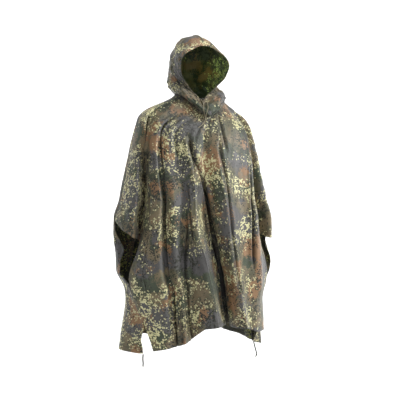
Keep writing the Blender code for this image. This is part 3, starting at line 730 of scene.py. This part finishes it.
@dataclass
class Hood:
    """The hood: two halves, the hem tunnel round the face and the cloth's gathers and rolls."""

    body: Body
    seam_gap: float = 0.0006
    lift: float = 0.0003
    turn: float = -0.009
    join: float = 0.07
    gathers: int = 9
    gather_depth: float = 0.0035
    gather_top: float = 0.34
    tunnel_width: float = 0.024
    tunnel_start: float = 0.25
    rows: int = 130
    columns: int = 96
    seed: int = 40

    def points(self, s: Array, t: Array) -> Array:
        """Right half of the hood: s runs from the face edge to the centre-back seam, t from neck to crown.

        Each ring is half an ellipse cut open at its rim's bearing. Near the neck it blends into the neck
        seam, and short gathers run up from it.
        """
        at = [r.t for r in HOOD_RINGS]
        sizes = ("rim", "width", "y_rim", "y_back", "z_rim", "z_side", "z_back")
        rim, width, y_rim, y_back, z_rim, z_side, z_back = (
            smooth(at, [getattr(r, size) for r in HOOD_RINGS], t) for size in sizes
        )
        first = np.radians(rim)
        angle = first + s * (pi - first)
        depth = (y_back - y_rim) / (1 + np.cos(first))
        x = -width * np.sin(angle)
        y = y_back - depth - depth * np.cos(angle)
        z = z_rim * 2 * (s - 0.5) * (s - 1) + z_side * 4 * s * (1 - s) + z_back * 2 * s * (s - 0.5)
        base = self.body.neck(-np.degrees(angle))
        base[..., 2] += self.lift
        point = np.stack([x, y, z], -1)
        near = np.clip(1 - t / self.join, 0, 1)[..., None]
        point = point + (base - point) * near
        fade = np.sin(np.clip(t / self.gather_top, 0, 1) * pi)
        wave = self.gather_depth * fade * np.sin(2 * pi * self.gathers * s) * np.clip(6 * s * (1 - s), 0, 1)
        point[..., 0] += -wave * np.sin(angle)
        point[..., 1] += -wave * np.cos(angle)
        return point

    def half(self, side: str) -> Sheet:
        """One half of the hood with its wrinkles, rows up from the neck and columns back from the face."""
        t = np.sin(np.linspace(0, 1, self.rows + 1) * pi / 2)[:, None] ** 1.2
        s, t = np.broadcast_arrays(np.linspace(0, 1, self.columns + 1)[None, :] ** 1.15, t)
        grid = self.points(s, t)
        u, v = lengths(grid, 1), lengths(grid, 0)
        seed = self.seed if side == "right" else self.seed + 7
        rim = ease(u / 0.012)
        calm = rim * ease((u[:, -1:] - u) / 0.012) * ease(v / 0.012) * ease((1 - t) / 0.08)
        relief = ripples(u, v, seed, 0.10, 0.05) * 1.5 + ripples(u, v, seed + 1, 0.05, 0.16) * 0.9
        relief += ripples(u, v, seed + 2, 0.022, 0.03) * 0.3
        low = ease((0.34 - t) / 0.14)
        relief += low * ripples(u, v, seed + 3, 0.2, 0.028) * 1.6
        scrunch = np.exp(-((u / 0.028) ** 2)) * ease((0.62 - t) / 0.25) * ease((t - 0.2) / 0.06)
        relief += scrunch * 1.3 * np.sin(2 * pi * v / 0.017 + 3 * np.sin(v / 0.03))
        # Painted shadow under the hood's roll: the print is darkened along the neck seam.
        folds = 0.8 * np.exp(-((v / 0.010) ** 2))
        for crease in HOOD_CREASES[side]:
            run = (t - crease.t_low) / (crease.t_high - crease.t_low)
            column = crease.s_low + (crease.s_high - crease.s_low) * np.clip(run, 0, 1)
            off = (s - column) * u[:, -1:] / (crease.width * MM)
            dent = ease(run / 0.2) * ease((1 - run) / 0.2) * np.exp(-(off**2))
            relief -= crease.depth * dent
            folds = folds + dent * np.clip(crease.depth / 7, 0, 1)
        outward = normals(grid)
        grid = grid + outward * (relief * calm * MM)[..., None]
        grid[..., 0] -= self.seam_gap / 2
        flat = np.stack([u, v], -1)
        if side == "left":
            grid = grid * np.array([-1, 1, 1])
            flat = flat * np.array([-1, 1]) + np.array([-0.2, 0.3])
        sway = smooth([r.t for r in HOOD_RINGS], [r.sway for r in HOOD_RINGS], t)
        sway += self.turn * np.exp(-(((t - 0.25) / 0.14) ** 2))
        grid[..., 0] += sway * ease(t / self.join)
        sheet = Sheet(grid, flat, u, np.clip(folds, 0, 1) * np.ones_like(u))
        return sheet.mirrored() if side == "left" else sheet

    def tunnel(self, side: str) -> Sheet:
        """The hem tunnel's strip: the hood's own points near the face edge, moved out by the wall's gap."""
        half = self.half(side)
        half = half.mirrored() if side == "left" else half
        u = lengths(half.grid, 1)
        t = np.sin(np.linspace(0, 1, self.rows + 1) * pi / 2) ** 1.2
        first = int(np.argmax(t > self.tunnel_start))
        grid, flat = half.grid[first:], half.flat[first:]
        run = lengths(grid, 0)[:, :1]
        across = np.linspace(0, self.tunnel_width, 15)[None, :] * np.ones((len(grid), 1))
        points, maps = along_rows(grid, u[first:], across), along_rows(flat, u[first:], across)
        outward = normals(points) * (1 if side == "right" else -1)
        swell = np.sin(np.clip(across / self.tunnel_width, 0, 1) * pi) ** 0.6
        ruche = 1 + 0.45 * np.sin(2 * pi * run / 0.016 + 2 * np.sin(run / 0.021)) * ease((0.16 - run) / 0.12)
        points = points + outward * (0.0009 + 0.0016 * swell * ruche)[..., None]
        folds = np.zeros_like(across)
        sheet = Sheet(points, maps, np.minimum(across, self.tunnel_width - across), folds)
        return sheet.mirrored() if side == "left" else sheet


# ---- seams ---------------------------------------------------------------------------------------------
def along_rows(values: Array, run: Array, at: Array) -> Array:
    """Values of a grid read at given lengths along each of its rows, by straight lines between columns.

    Args:
        values: grid of points or maps, rows by columns by n.
        run: running length of each row at its columns.
        at: lengths to read, rows by m.
    Returns:
        Grid of rows by m by n.
    """
    low = np.clip((run[:, None, :] <= at[..., None]).sum(-1) - 1, 0, run.shape[1] - 2)
    r0, r1 = np.take_along_axis(run, low, 1), np.take_along_axis(run, low + 1, 1)
    share = np.clip((at - r0) / np.maximum(r1 - r0, 1e-9), 0, 1)[..., None]
    v0 = np.take_along_axis(values, low[..., None], 1)
    v1 = np.take_along_axis(values, low[..., None] + 1, 1)
    return v0 + (v1 - v0) * share


@dataclass
class FelledSeam:
    """A felled seam: a narrow strip that lies over the edges of two cloths."""

    half_width: float = 0.006
    rise: float = 0.0011
    across: int = 6

    def strip(self, one: Array, two: Array) -> Sheet:
        """The strip along the first columns of two grids whose rows match.

        Each side is read at even lengths from its first column, and the whole is raised along its normals
        by a rounded profile rise * (1 - x^4).

        Args:
            one, two: grids with the shared seam in their first columns.
        Returns:
            The strip as a sheet.
        """
        at = np.linspace(0, self.half_width, self.across)[None, :] * np.ones((len(one), 1))
        left = along_rows(one, lengths(one, 1), at)
        right = along_rows(two, lengths(two, 1), at)
        points = np.concatenate([left[:, ::-1], right[:, 1:]], 1)
        points[:, self.across - 1] = 0.5 * (left[:, 0] + right[:, 0])
        x = np.linspace(-1, 1, points.shape[1])[None, :]
        points = points + normals(points) * (self.rise * (1 - x**4) + 0.0004)[..., None]
        run = lengths(points, 0)
        u = x * self.half_width * np.ones_like(run)
        edge = self.half_width * (1 - abs(x)) * np.ones_like(run)
        return Sheet(points, np.stack([u + 0.8, -run], -1), edge, np.zeros_like(edge))


# ---- cords ---------------------------------------------------------------------------------------------
@dataclass(frozen=True)
class Cord:
    """A round cord: the places that its centreline passes, its diameter and how it hangs."""

    name: str
    node: str
    places: tuple[Triple, ...]
    diameter: float
    lay: str

    def line(self, step: float = 0.6) -> Array:
        """Evenly spaced points of a smooth line through the places, one every step diameters."""
        points = np.array(self.places)
        chord = np.concatenate([[0], np.cumsum(np.linalg.norm(np.diff(points, axis=0), axis=1))])
        ends = np.concatenate([[2 * points[0] - points[1]], points, [2 * points[-1] - points[-2]]])
        at = np.linspace(0, chord[-1], round(chord[-1] / (step * self.diameter)) + 1)
        low = np.clip(np.searchsorted(chord, at, side="right") - 1, 0, len(points) - 2)
        share = (at - chord[low]) / (chord[low + 1] - chord[low])
        return curve_between(ends[low], ends[low + 1], ends[low + 2], ends[low + 3], share)

    def build(self, material: bpy.types.Material) -> bpy.types.Object:
        """The cord as a closed tube round its line, with a plaited relief, in place of the frame's part, which it
        hides.

        A point is c + r (cos a n + sin a b), where n and b stand square to the line, and the radius r
        swells with sin(9 turns of the plait) and closes to nothing at both ends.
        """
        line = self.line()
        tangent = unit(np.gradient(line, axis=0))
        side = unit(np.cross(tangent, np.array([0.31, 0.95, 0.04])))
        other = np.cross(tangent, side)
        run = np.concatenate([[0], np.cumsum(np.linalg.norm(np.diff(line, axis=0), axis=1))])
        angle = np.linspace(0, 2 * pi, 15)[None, :-1]
        plait = 1 + 0.05 * np.sin(4 * angle + 2 * pi * run[:, None] / (1.6 * self.diameter))
        radius = 0.5 * self.diameter * 0.97 * plait
        way = np.cos(angle)[..., None] * side[:, None] + np.sin(angle)[..., None] * other[:, None]
        tube = line[:, None] + radius[..., None] * way
        cap = np.array([0.0, 0.55, 0.85])[:, None, None]
        first = line[0] + (tube[0] - line[0]) * cap
        last = line[-1] + (tube[-1] - line[-1]) * cap[::-1]
        tube = np.concatenate([first, tube, last])
        v = np.concatenate([[run[0]] * 3, run, [run[-1]] * 3])
        flat = np.stack(np.broadcast_arrays(angle / (2 * pi) * pi * self.diameter, v[:, None]), -1)
        mesh = grid_mesh(self.name, tube, flat, closed=True)
        merged(mesh)
        piece = place(self.name, mesh, (material,))
        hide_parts(self.node)
        path = [list(map(float, p)) for p in line[::2]]
        if len(line) % 2 == 0:
            path.append(list(map(float, line[-1])))
        return piece


def merged(mesh: bpy.types.Mesh) -> None:
    """Merges points that coincide and turns all faces outwards, as at the closed ends of a tube."""
    work = bmesh.new()
    work.from_mesh(mesh)
    bmesh.ops.remove_doubles(work, verts=work.verts, dist=1e-6)
    bmesh.ops.recalc_face_normals(work, faces=work.faces)
    work.to_mesh(mesh)
    work.free()
    mesh.shade_smooth()


CORDS = (
    Cord(
        name="drawcord_right_yarn",
        node="drawcord_right",
        places=(
            (-0.0241, -0.0812, 0.0098),
            (-0.0262, -0.0980, 0.0000),
            (-0.0290, -0.1130, -0.0125),
            (-0.0345, -0.1285, -0.0245),
            (-0.0365, -0.1330, -0.0390),
            (-0.0310, -0.1275, -0.0530),
            (-0.0235, -0.1195, -0.0650),
            (-0.0178, -0.1226, -0.0805),
        ),
        diameter=0.003,
        lay="hanging",
    ),
    Cord(
        name="drawcord_left_yarn",
        node="drawcord_left",
        places=(
            (0.0022, -0.0812, 0.0100),
            (-0.0030, -0.0975, -0.0010),
            (-0.0085, -0.1120, -0.0170),
            (-0.0150, -0.1290, -0.0290),
            (-0.0212, -0.1353, -0.0420),
            (-0.0235, -0.1290, -0.0575),
            (-0.0235, -0.1240, -0.0710),
            (-0.0315, -0.1262, -0.0890),
            (-0.0465, -0.1330, -0.1025),
            (-0.0630, -0.1386, -0.1130),
        ),
        diameter=0.003,
        lay="hanging",
    ),
    Cord(
        name="corner_tie_right_yarn",
        node="corner_tie_right",
        places=(
            (-0.2860, -0.1135, -0.9961),
            (-0.2875, -0.1140, -1.0138),
            (-0.2865, -0.1145, -1.0298),
            (-0.2870, -0.1145, -1.0438),
        ),
        diameter=0.0056,
        lay="hanging",
    ),
    Cord(
        name="corner_tie_left_yarn",
        node="corner_tie_left",
        places=(
            (0.2428, -0.0435, -1.0067),
            (0.2478, -0.0445, -1.0269),
            (0.2518, -0.0455, -1.0429),
            (0.2568, -0.0455, -1.0609),
            (0.2513, -0.0455, -1.0749),
        ),
        diameter=0.0056,
        lay="hanging",
    ),
)


# ---- shader maths --------------------------------------------------------------------------------------
class Shade:
    """A shader socket that takes part in Python expressions; each operator adds one Math node."""

    def __init__(self, tree: "Tree", socket: bpy.types.NodeSocket) -> None:
        """Wraps a socket of a tree's node."""
        self.tree = tree
        self.socket = socket

    def _math(self, operation: str, *values: Any, clamp: bool = False) -> "Shade":
        """One Math node on this value and others."""
        settings = {"operation": operation, "use_clamp": clamp}
        return self.tree.node("ShaderNodeMath", settings, dict(enumerate((self, *values))))

    def __add__(self, other: Any) -> "Shade":
        """Sum."""
        return self._math("ADD", other)

    __radd__ = __add__

    def __mul__(self, other: Any) -> "Shade":
        """Product."""
        return self._math("MULTIPLY", other)

    __rmul__ = __mul__

    def __sub__(self, other: Any) -> "Shade":
        """Difference."""
        return self._math("SUBTRACT", other)

    def __rsub__(self, other: Any) -> "Shade":
        """Difference the other way round."""
        return self.tree.node("ShaderNodeMath", {"operation": "SUBTRACT"}, {0: other, 1: self})

    def __gt__(self, other: Any) -> "Shade":
        """1 where this is greater, else 0."""
        return self._math("GREATER_THAN", other)

    def __lt__(self, other: Any) -> "Shade":
        """1 where this is less, else 0."""
        return self._math("LESS_THAN", other)

    def sine(self) -> "Shade":
        """Sine."""
        return self._math("SINE")

    def size(self) -> "Shade":
        """Absolute value."""
        return self._math("ABSOLUTE")

    def larger(self, other: Any) -> "Shade":
        """The larger of two."""
        return self._math("MAXIMUM", other)

    def wrap(self, length: float) -> "Shade":
        """Distance to the nearest whole multiple of a length."""
        return self._math("PINGPONG", length / 2)

    def between(self, low: float, high: float) -> "Shade":
        """Share of the way from low to high, held at 0 and 1."""
        settings = {"clamp": True, "interpolation_type": "SMOOTHSTEP"}
        return self.tree.node("ShaderNodeMapRange", settings, {0: self, 1: low, 2: high})


class Tree:
    """A material's node tree around its Principled shader."""

    def __init__(self, name: str) -> None:
        """Makes the material and clears its tree down to the shader and the output."""
        self.material = bpy.data.materials.new(name)
        self.material.use_nodes = True
        self.nodes = self.material.node_tree.nodes
        self.links = self.material.node_tree.links
        self.shader = self.nodes["Principled BSDF"]

    def node(self, kind: str, settings: dict[str, Any], inputs: dict[Any, Any], out: Any = 0) -> Shade:
        """Adds one node.

        Args:
            kind: Blender's name of its type.
            settings: its properties, set first.
            inputs: values or links of its sockets, by name or number.
            out: the output to return, by name or number.
        Returns:
            The wrapped output.
        """
        node = self.nodes.new(kind)
        for key, value in settings.items():
            setattr(node, key, value)
        for key, value in inputs.items():
            self.feed(node.inputs[key], value)
        return Shade(self, node.outputs[out])

    def feed(self, socket: bpy.types.NodeSocket, value: Any) -> None:
        """Links a wrapped value to a socket, or sets the socket's own value."""
        if isinstance(value, Shade):
            self.links.new(value.socket, socket)
        elif isinstance(value, tuple) and socket.type == "RGBA" and len(value) == 3:
            socket.default_value = (*value, 1)
        else:
            socket.default_value = value

    def flat(self) -> Shade:
        """The piece's own map in metres."""
        return self.node("ShaderNodeUVMap", {"uv_map": "Flat"}, {}, "UV")

    def part(self, vector: Shade, axis: str) -> Shade:
        """One coordinate of a vector."""
        return self.node("ShaderNodeSeparateXYZ", {}, {0: vector}, axis)

    def moved(self, vector: Shade, by: Triple) -> Shade:
        """A vector moved by a distance."""
        return self.node("ShaderNodeVectorMath", {"operation": "ADD"}, {0: vector, 1: by})

    def noise(self, vector: Shade, scale: float, detail: float = 2.0, rough: float = 0.5) -> Shade:
        """Noise of about 0 to 1."""
        sockets = {"Vector": vector, "Scale": scale, "Detail": detail, "Roughness": rough}
        return self.node("ShaderNodeTexNoise", {"noise_dimensions": "3D"}, sockets, 0)

    def mix(self, share: Any, one: Any, two: Any) -> Shade:
        """Colour between one and two."""
        settings = {"data_type": "RGBA", "clamp_factor": True}
        return self.node("ShaderNodeMix", settings, {0: share, 6: one, 7: two}, 2)

    def tinted(self, one: Any, two: Any) -> Shade:
        """Product of two colours."""
        settings = {"data_type": "RGBA", "blend_type": "MULTIPLY"}
        return self.node("ShaderNodeMix", settings, {0: 1.0, 6: one, 7: two}, 2)

    def grey(self, value: Shade) -> Shade:
        """A value as a grey colour."""
        return self.node("ShaderNodeCombineColor", {}, {0: value, 1: value, 2: value})

    def finish(self, sockets: dict[str, Any]) -> bpy.types.Material:
        """Sets the shader's sockets and returns the material."""
        for key, value in sockets.items():
            self.feed(self.shader.inputs[key], value)
        return self.material


# ---- finishes ------------------------------------------------------------------------------------------
Colour = Triple


def linear(red: int, green: int, blue: int) -> Colour:
    """Linear colour of a screen colour, by the sRGB curve."""

    def one(c: int) -> float:
        """Linear value of one channel."""
        c = c / 255
        return c / 12.92 if c <= 0.04045 else ((c + 0.055) / 1.055) ** 2.4

    return (one(red), one(green), one(blue))


class Side(Enum):
    """Which side of the cloth a finish is for."""

    OUTSIDE = "outside"
    INSIDE = "inside"
    HOOD_INSIDE = "hood inside"


@dataclass(frozen=True)
class Patch:
    """One colour of the print: the size and share of its patches and how they break up at their edges.

    scale counts patches to a metre, cover is the height of slow noise above which the colour is printed,
    and fringe is how far its dots reach down that slope. veins is the width of the branching threads that
    make up the patch, in heights of a finer noise, and 0 prints the patch whole.
    """

    colour: Colour
    scale: float
    cover: float
    fringe: float
    veins: float
    place: Triple


@dataclass(frozen=True)
class PrintedCloth:
    """Coated cloth with a spotted woodland print, a fine square weave and stitched hems."""

    base: Colour = linear(106, 94, 70)
    shade: Colour = linear(80, 78, 58)
    patches: tuple[Patch, ...] = (
        Patch(linear(52, 60, 42), 11.0, 0.515, 0.14, 0.0, (3.1, 7.7, 1.9)),
        Patch(linear(72, 71, 70), 8.5, 0.53, 0.06, 0.0, (23.7, 17.1, 8.2)),
        Patch(linear(124, 94, 64), 10.5, 0.57, 0.10, 0.0, (11.3, 2.9, 4.4)),
        Patch(linear(34, 36, 26), 9.0, 0.53, 0.24, 0.060, (41.2, 13.4, 9.7)),
        Patch(linear(192, 188, 142), 9.0, 0.55, 0.20, 0.042, (41.0, 13.3, 9.7)),
    )
    dot: float = 0.0046
    weave: float = 0.0011
    rib: float = 0.0065
    roughness: float = 0.50
    fold_shade: float = 0.88
    fold_colour: Triple = (20, 20, 15)
    hem_fold_shade_colour: Triple = (34, 34, 26)
    stitch_colour: Triple = (70, 68, 48)
    inside_tint: Triple = (150, 156, 110)
    # Tint of the hood's coated inside, lighter and greener than inside_tint as painted light through the thin
    # cloth.
    hood_coat_and_painted_light_tint: Triple = (176, 204, 150)
    glow: float = 0.12
    glow_from: float = 0.04
    glow_to: float = 0.11
    glow_gain: float = 3.0

    def printed(self, tree: Tree, place: Shade) -> Shade:
        """Colour of the print: patches whose edges break up into round dots.

        Space is divided into dots, each a cell of a Voronoi pattern. A dot takes a colour where slow
        noise at the dot's middle, plus a random draw of the dot within the fringe, passes the colour's
        cover. Near the cover only the round middle of a dot is printed.
        """
        cells = {"voronoi_dimensions": "3D", "feature": "F1"}
        ask = {"Vector": place, "Scale": 1 / self.dot, "Randomness": 1.0}
        voronoi = tree.node("ShaderNodeTexVoronoi", cells, ask, "Distance")
        found = voronoi.socket.node.outputs
        distance, middle = Shade(tree, found["Distance"]), Shade(tree, found["Position"])
        draw = tree.part(Shade(tree, found["Color"]), "X")
        other = tree.part(Shade(tree, found["Color"]), "Y")
        tone = tree.part(Shade(tree, found["Color"]), "Z")
        colour = tree.mix(tree.noise(middle, 16.0).between(0.42, 0.58), self.base, self.shade)
        for patch in self.patches:
            spot = tree.moved(middle, patch.place)
            height = tree.noise(spot, patch.scale, 2.0, 0.5)
            drawn = height + (draw - 0.5) * patch.fringe > patch.cover
            if patch.veins:
                vein = (tree.noise(spot, 42.0, 2.0, 0.6) - 0.5).size() < patch.veins
                whole = vein.larger(other < 0.08) * (distance < 0.75)
            else:
                whole = (height > patch.cover + 0.03).larger(distance < 0.46)
            colour = tree.mix(drawn * whole, colour, patch.colour)
        return tree.tinted(colour, tree.grey(tone * 0.22 + 0.89))

    def material(self, name: str, side: Side, shift: Triple) -> bpy.types.Material:
        """The finish as a material.

        Args:
            name: name of the material.
            side: outside, or the coated inside where the print shows through dark.
            shift: how far this piece's cut lies from the print's start, in metres.
        Returns:
            The material.
        """
        tree = Tree(name)
        flat = tree.flat()
        space = tree.moved(tree.node("ShaderNodeTexCoord", {}, {}, "Object"), shift)
        colour = self.printed(tree, space)
        edge = tree.node("ShaderNodeAttribute", {"attribute_name": "edge"}, {}, "Fac")
        across, along = tree.part(flat, "X"), tree.part(flat, "Y")
        warp_thread = (across * (2 * pi / self.weave)).sine()
        weft_thread = (along * (2 * pi / self.weave)).sine()
        rib = across.wrap(self.rib).between(0.0005, 0.0002).larger(along.wrap(self.rib).between(0.0005, 0.0002))
        # fold_line marks the hem's turned edge 19 mm in: a groove in the bump, and a line of painted shade in the
        # colour.
        fold_line = (edge - 0.019).size().between(0.0022, 0.0004)
        dashes = (along + across).wrap(0.0034).between(0.0004, 0.0007)
        stitch = (edge - 0.017).size().between(0.0009, 0.0004) * dashes
        crumple = tree.noise(space, 60.0, 4.0, 0.6)
        worn = tree.noise(space, 5.0, 3.0)
        folds = tree.node("ShaderNodeAttribute", {"attribute_name": "folds"}, {}, "Fac")
        if side is Side.INSIDE:
            colour = tree.tinted(colour, linear(*self.inside_tint))
        elif side is Side.HOOD_INSIDE:
            # The hood's inside: the coated inside's own tint, with painted light through the thin cloth that
            # makes it lighter and greener.
            colour = tree.tinted(colour, linear(*self.hood_coat_and_painted_light_tint))
        colour = tree.tinted(colour, tree.grey(worn * 0.3 + 0.85))
        colour = tree.mix(folds * self.fold_shade, colour, linear(*self.fold_colour))
        # Painted shade along the hem's fold line.
        colour = tree.mix(fold_line * 0.45, colour, linear(*self.hem_fold_shade_colour))
        colour = tree.mix(stitch * 0.8, colour, linear(*self.stitch_colour))
        height = warp_thread * weft_thread * 0.12 + rib * 0.5 + crumple * 2.2 - fold_line * 1.6 + stitch * 0.8
        bump = tree.node("ShaderNodeBump", {}, {"Strength": 0.5, "Distance": 0.0006, "Height": height})
        if side is Side.HOOD_INSIDE:
            # Light through the thin cloth, painted as a faint glow that grows towards the wearer's left.
            sideways = tree.part(tree.node("ShaderNodeTexCoord", {}, {}, "Object"), "X")
            lit = sideways.between(self.glow_from, self.glow_to) * self.glow_gain + 1
            tree.finish({"Emission Color": tree.tinted(colour, tree.grey(lit)), "Emission Strength": self.glow})
        return tree.finish(
            {
                "Base Color": colour,
                "Roughness": worn * 0.10 + crumple * 0.08 + (self.roughness - 0.09),
                "Normal": bump,
                "Sheen Weight": 0.10,
                "Sheen Roughness": 0.5,
                "Specular IOR Level": 0.42,
            }
        )


@dataclass(frozen=True)
class PlaitedCord:
    """Dark plaited cord whose cut end is sealed pale."""

    colour: Colour = linear(30, 29, 22)
    light: Colour = linear(62, 59, 46)
    tip: Colour = linear(120, 116, 100)
    tip_length: float = 0.004

    def material(self, name: str, length: float, sealed: bool) -> bpy.types.Material:
        """The finish as a material.

        Args:
            name: name of the material.
            length: length of the cord in metres.
            sealed: whether its end is pale.
        Returns:
            The material.
        """
        tree = Tree(name)
        flat = tree.flat()
        run = tree.part(flat, "Y")
        yarn = ((tree.part(flat, "X") * 2 + run) * (2 * pi / 0.0016)).sine() * 0.5 + 0.5
        fuzz = tree.noise(flat, 900.0, 2.0)
        colour = tree.mix(yarn * 0.6 + fuzz * 0.4, self.colour, self.light)
        if sealed:
            colour = tree.mix(run > (length - self.tip_length), colour, self.tip)
        bump = tree.node("ShaderNodeBump", {}, {"Strength": 0.6, "Distance": 0.0004, "Height": yarn + fuzz * 0.4})
        return tree.finish({"Base Color": colour, "Roughness": 0.75, "Normal": bump})


# ---- studio --------------------------------------------------------------------------------------------
@dataclass
class Studio:
    """Pale floor that curves up into a backdrop, soft lamps and the camera."""

    azimuth: float = radians(-25)
    distance: float = 2.8
    height: float = -0.40
    slide: float = 0.0084
    lens: float = 60.0
    floor: float = -1.45

    def camera(self) -> None:
        """Camera at distance D from the axis, level with the height and slid sideways by a few millimetres."""
        sine, cosine = np.sin(self.azimuth), np.cos(self.azimuth)
        data = bpy.data.cameras.new("Camera")
        data.lens = self.lens
        data.sensor_width = 36
        data.clip_end = 50
        ob = bpy.data.objects.new("Camera", data)
        ob.location = (
            self.distance * sine + self.slide * cosine,
            -self.distance * cosine + self.slide * sine,
            self.height,
        )
        ob.rotation_euler = (pi / 2, 0, self.azimuth)
        bpy.context.scene.collection.objects.link(ob)
        bpy.context.scene.camera = ob

    def backdrop(self) -> None:
        """Floor and backdrop in one: a disc whose rim rises, z = floor + k max(0, r - 3)^2."""
        radius = np.concatenate([np.linspace(0, 3, 7), np.linspace(3.2, 7.5, 20)])[:, None]
        angle = np.linspace(0, 2 * pi, 65)[None, :-1]
        rise = 0.42 * np.maximum(radius - 3, 0) ** 2 * np.ones_like(angle)
        points = np.stack([radius * np.cos(angle), radius * np.sin(angle), self.floor + rise], -1)
        mesh = grid_mesh("backdrop", points, points[..., :2] * 1.0, closed=True)
        merged(mesh)
        if mesh.polygons[0].normal.z < 0:
            mesh.flip_normals()
        tree = Tree("pale backdrop")
        grain = tree.noise(tree.flat(), 3.0, 3.0)
        colour = tree.mix(grain, (0.86, 0.86, 0.86), (0.88, 0.88, 0.88))
        mesh.materials.append(tree.finish({"Base Color": colour, "Roughness": 0.95, "Specular IOR Level": 0.1}))
        ob = bpy.data.objects.new("backdrop", mesh)
        bpy.context.scene.collection.objects.link(ob)

    def lamp(
        self, name: str, place: Sequence[float], size: float, power: float, aim: Sequence[float]
    ) -> None:
        """Square soft lamp at a place, turned to what it aims at."""
        data = bpy.data.lights.new(name, "AREA")
        data.size = size
        data.energy = power
        ob = bpy.data.objects.new(name, data)
        ob.location = place
        way = np.asarray(aim, float) - np.asarray(place, float)
        tilt, turn = np.arctan2(np.hypot(way[0], way[1]), -way[2]), np.arctan2(-way[0], way[1])
        ob.rotation_euler = (float(tilt), 0, float(turn))
        bpy.context.scene.collection.objects.link(ob)

    def light(self) -> None:
        """White sky and soft lamps, the strongest from above."""
        world = bpy.data.worlds.new("Studio")
        world.use_nodes = True
        sky = world.node_tree.nodes["Background"]
        sky.inputs["Color"].default_value = (1, 1, 1, 1)
        sky.inputs["Strength"].default_value = 0.26
        bpy.context.scene.world = world
        self.lamp("Top", (0.2, -0.8, 2.2), 1.2, 40, (0, 0, -0.3))
        self.lamp("Key", (2.5, -1.9, 0.6), 0.8, 108, (0, 0, -0.5))
        self.lamp("Fill", (-2.4, -2.0, 0.4), 1.6, 10, (0, 0, -0.4))
        self.lamp("Wall left", (-1.2, 2.4, 2.6), 2.5, 160, (0.6, 5.5, 0.4))
        self.lamp("Wall right", (3.2, 1.2, 2.6), 2.5, 160, (3.4, 5.0, 0.4))
        bpy.context.scene.view_settings.view_transform = "Standard"


# ---- the garment ---------------------------------------------------------------------------------------
@dataclass
class Poncho:
    body: Body = field(default_factory=Body)
    finish: PrintedCloth = field(default_factory=PrintedCloth)
    tie_finish: PlaitedCord = field(default_factory=PlaitedCord)
    drawcord_finish: PlaitedCord = PlaitedCord(linear(104, 98, 78), linear(158, 150, 124))
    wall: float = 0.0011
    panel_cut: tuple[float, float] = (1.42, 1.05)
    front_area: float = 1.05
    back_area: float = 1.15
    hood_cut: tuple[float, float] = (0.36, 0.40)
    hood_area: float = 0.105
    hood_shift: Triple = (5.25, 1.3, 4.1)

    def cords(self) -> None:
        """The drawcord's two free ends and the two corner ties."""
        for cord in CORDS:
            length = float(np.linalg.norm(np.diff(cord.line(), axis=0), axis=1).sum())
            sealed = cord.name.startswith("corner")
            finish = self.tie_finish if sealed else self.drawcord_finish
            cord.build(finish.material(cord.name, length, sealed))

    def dress(
        self, name: str, sheet: Sheet, shift: Triple, offset: float = 1, wall: float = 0
    ) -> bpy.types.Object:
        """One piece of cloth in the print, with its own cut from it.

        Args:
            name: name of the piece.
            sheet: its points.
            shift: how far its cut lies from the print's start, in metres.
            offset: 1 lets the wall grow outwards, -1 inwards.
            wall: thickness in metres, or 0 for the cloth's own.
        Returns:
            The new piece.
        """
        back = Side.HOOD_INSIDE if name.startswith("hood") else Side.INSIDE
        outside = self.finish.material(name + " outside", Side.OUTSIDE, shift)
        inside = self.finish.material(name + " inside", back, shift)
        piece = cloth(name, sheet, outside, inside, wall or self.wall, offset)
        log.info("%s: %.3f square metres, %d quads", name, sheet.area(), len(piece.data.polygons))
        return piece

    def build(self) -> None:
        """Makes the panels, the hood, the seams' strips and the hem tunnel."""
        front = Panel("front_panel", FRONT_FOLDS, FRONT_CREASES, 11, 15, 3, body=self.body)
        back = Panel("back_panel", BACK_FOLDS, BACK_CREASES, 23, 14, 2, body=self.body, turned=True)
        sheets = {}
        cuts = ((front, self.front_area, (0.0, 0.0, 0.0)), (back, self.back_area, (1.7, 0.4, 2.3)))
        for panel, area, shift in cuts:
            sheet = panel.sheet()
            sheets[panel.name] = sheet
            piece = self.dress(panel.name + "_cloth", sheet, shift)
            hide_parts(panel.name)
        hood = Hood(self.body)
        halves = {}
        for side in ("right", "left"):
            sheet = hood.half(side)
            halves[side] = sheet
            piece = self.dress("hood_" + side + "_cloth", sheet, self.hood_shift, offset=-1)
            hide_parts("hood_" + side)
            tunnel = hood.tunnel(side)
            strip = self.dress("hood_hem_" + side + "_cloth", tunnel, self.hood_shift, offset=-1, wall=0.0006)
            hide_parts("hood_hem_" + side)
            self.declare_strip(strip, hood.tunnel_width)
        self.seams(sheets, halves)

    def declare_strip(self, piece: bpy.types.Object, width: float) -> None:
        """Works out the length that a narrow strip's area gives at its width; nothing is done with it."""
        work = bmesh.new()
        work.from_mesh(piece.data)
        area = sum(f.calc_area() for f in work.faces)
        work.free()
        area / width

    def seams(self, panels: dict[str, Sheet], halves: dict[str, Sheet]) -> None:
        """Felled seams down both arms, over the hood and down its back."""
        seam, narrow = FelledSeam(), FelledSeam(half_width=0.005, rise=0.0009)
        front, back = panels["front_panel"].grid, panels["back_panel"].grid
        right, left = halves["right"].grid, halves["left"].grid
        crown_right = right[::-1].transpose(1, 0, 2)
        crown_left = left[::-1, ::-1].transpose(1, 0, 2)
        strips = (
            ("arm_seam_right", seam, back[:, ::-1], front),
            ("arm_seam_left", seam, front[:, ::-1], back),
            ("hood_back_seam", narrow, right[:, ::-1], left),
            ("hood_crown_seam", narrow, crown_left, crown_right),
        )
        for name, kind, one, two in strips:
            piece = self.dress(name, kind.strip(one, two), (0.3, 0.9, 5.2), wall=0.0005)
            self.declare_strip(piece, 2 * kind.half_width)


def main() -> None:
    """Builds the scene: camera and cords, garment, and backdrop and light."""
    logging.basicConfig(level=logging.INFO, format="%(name)s: %(message)s")
    studio = Studio()
    studio.camera()
    poncho = Poncho()
    poncho.cords()
    poncho.build()
    studio.backdrop()
    studio.light()


if __name__ == "__main__":
    main()
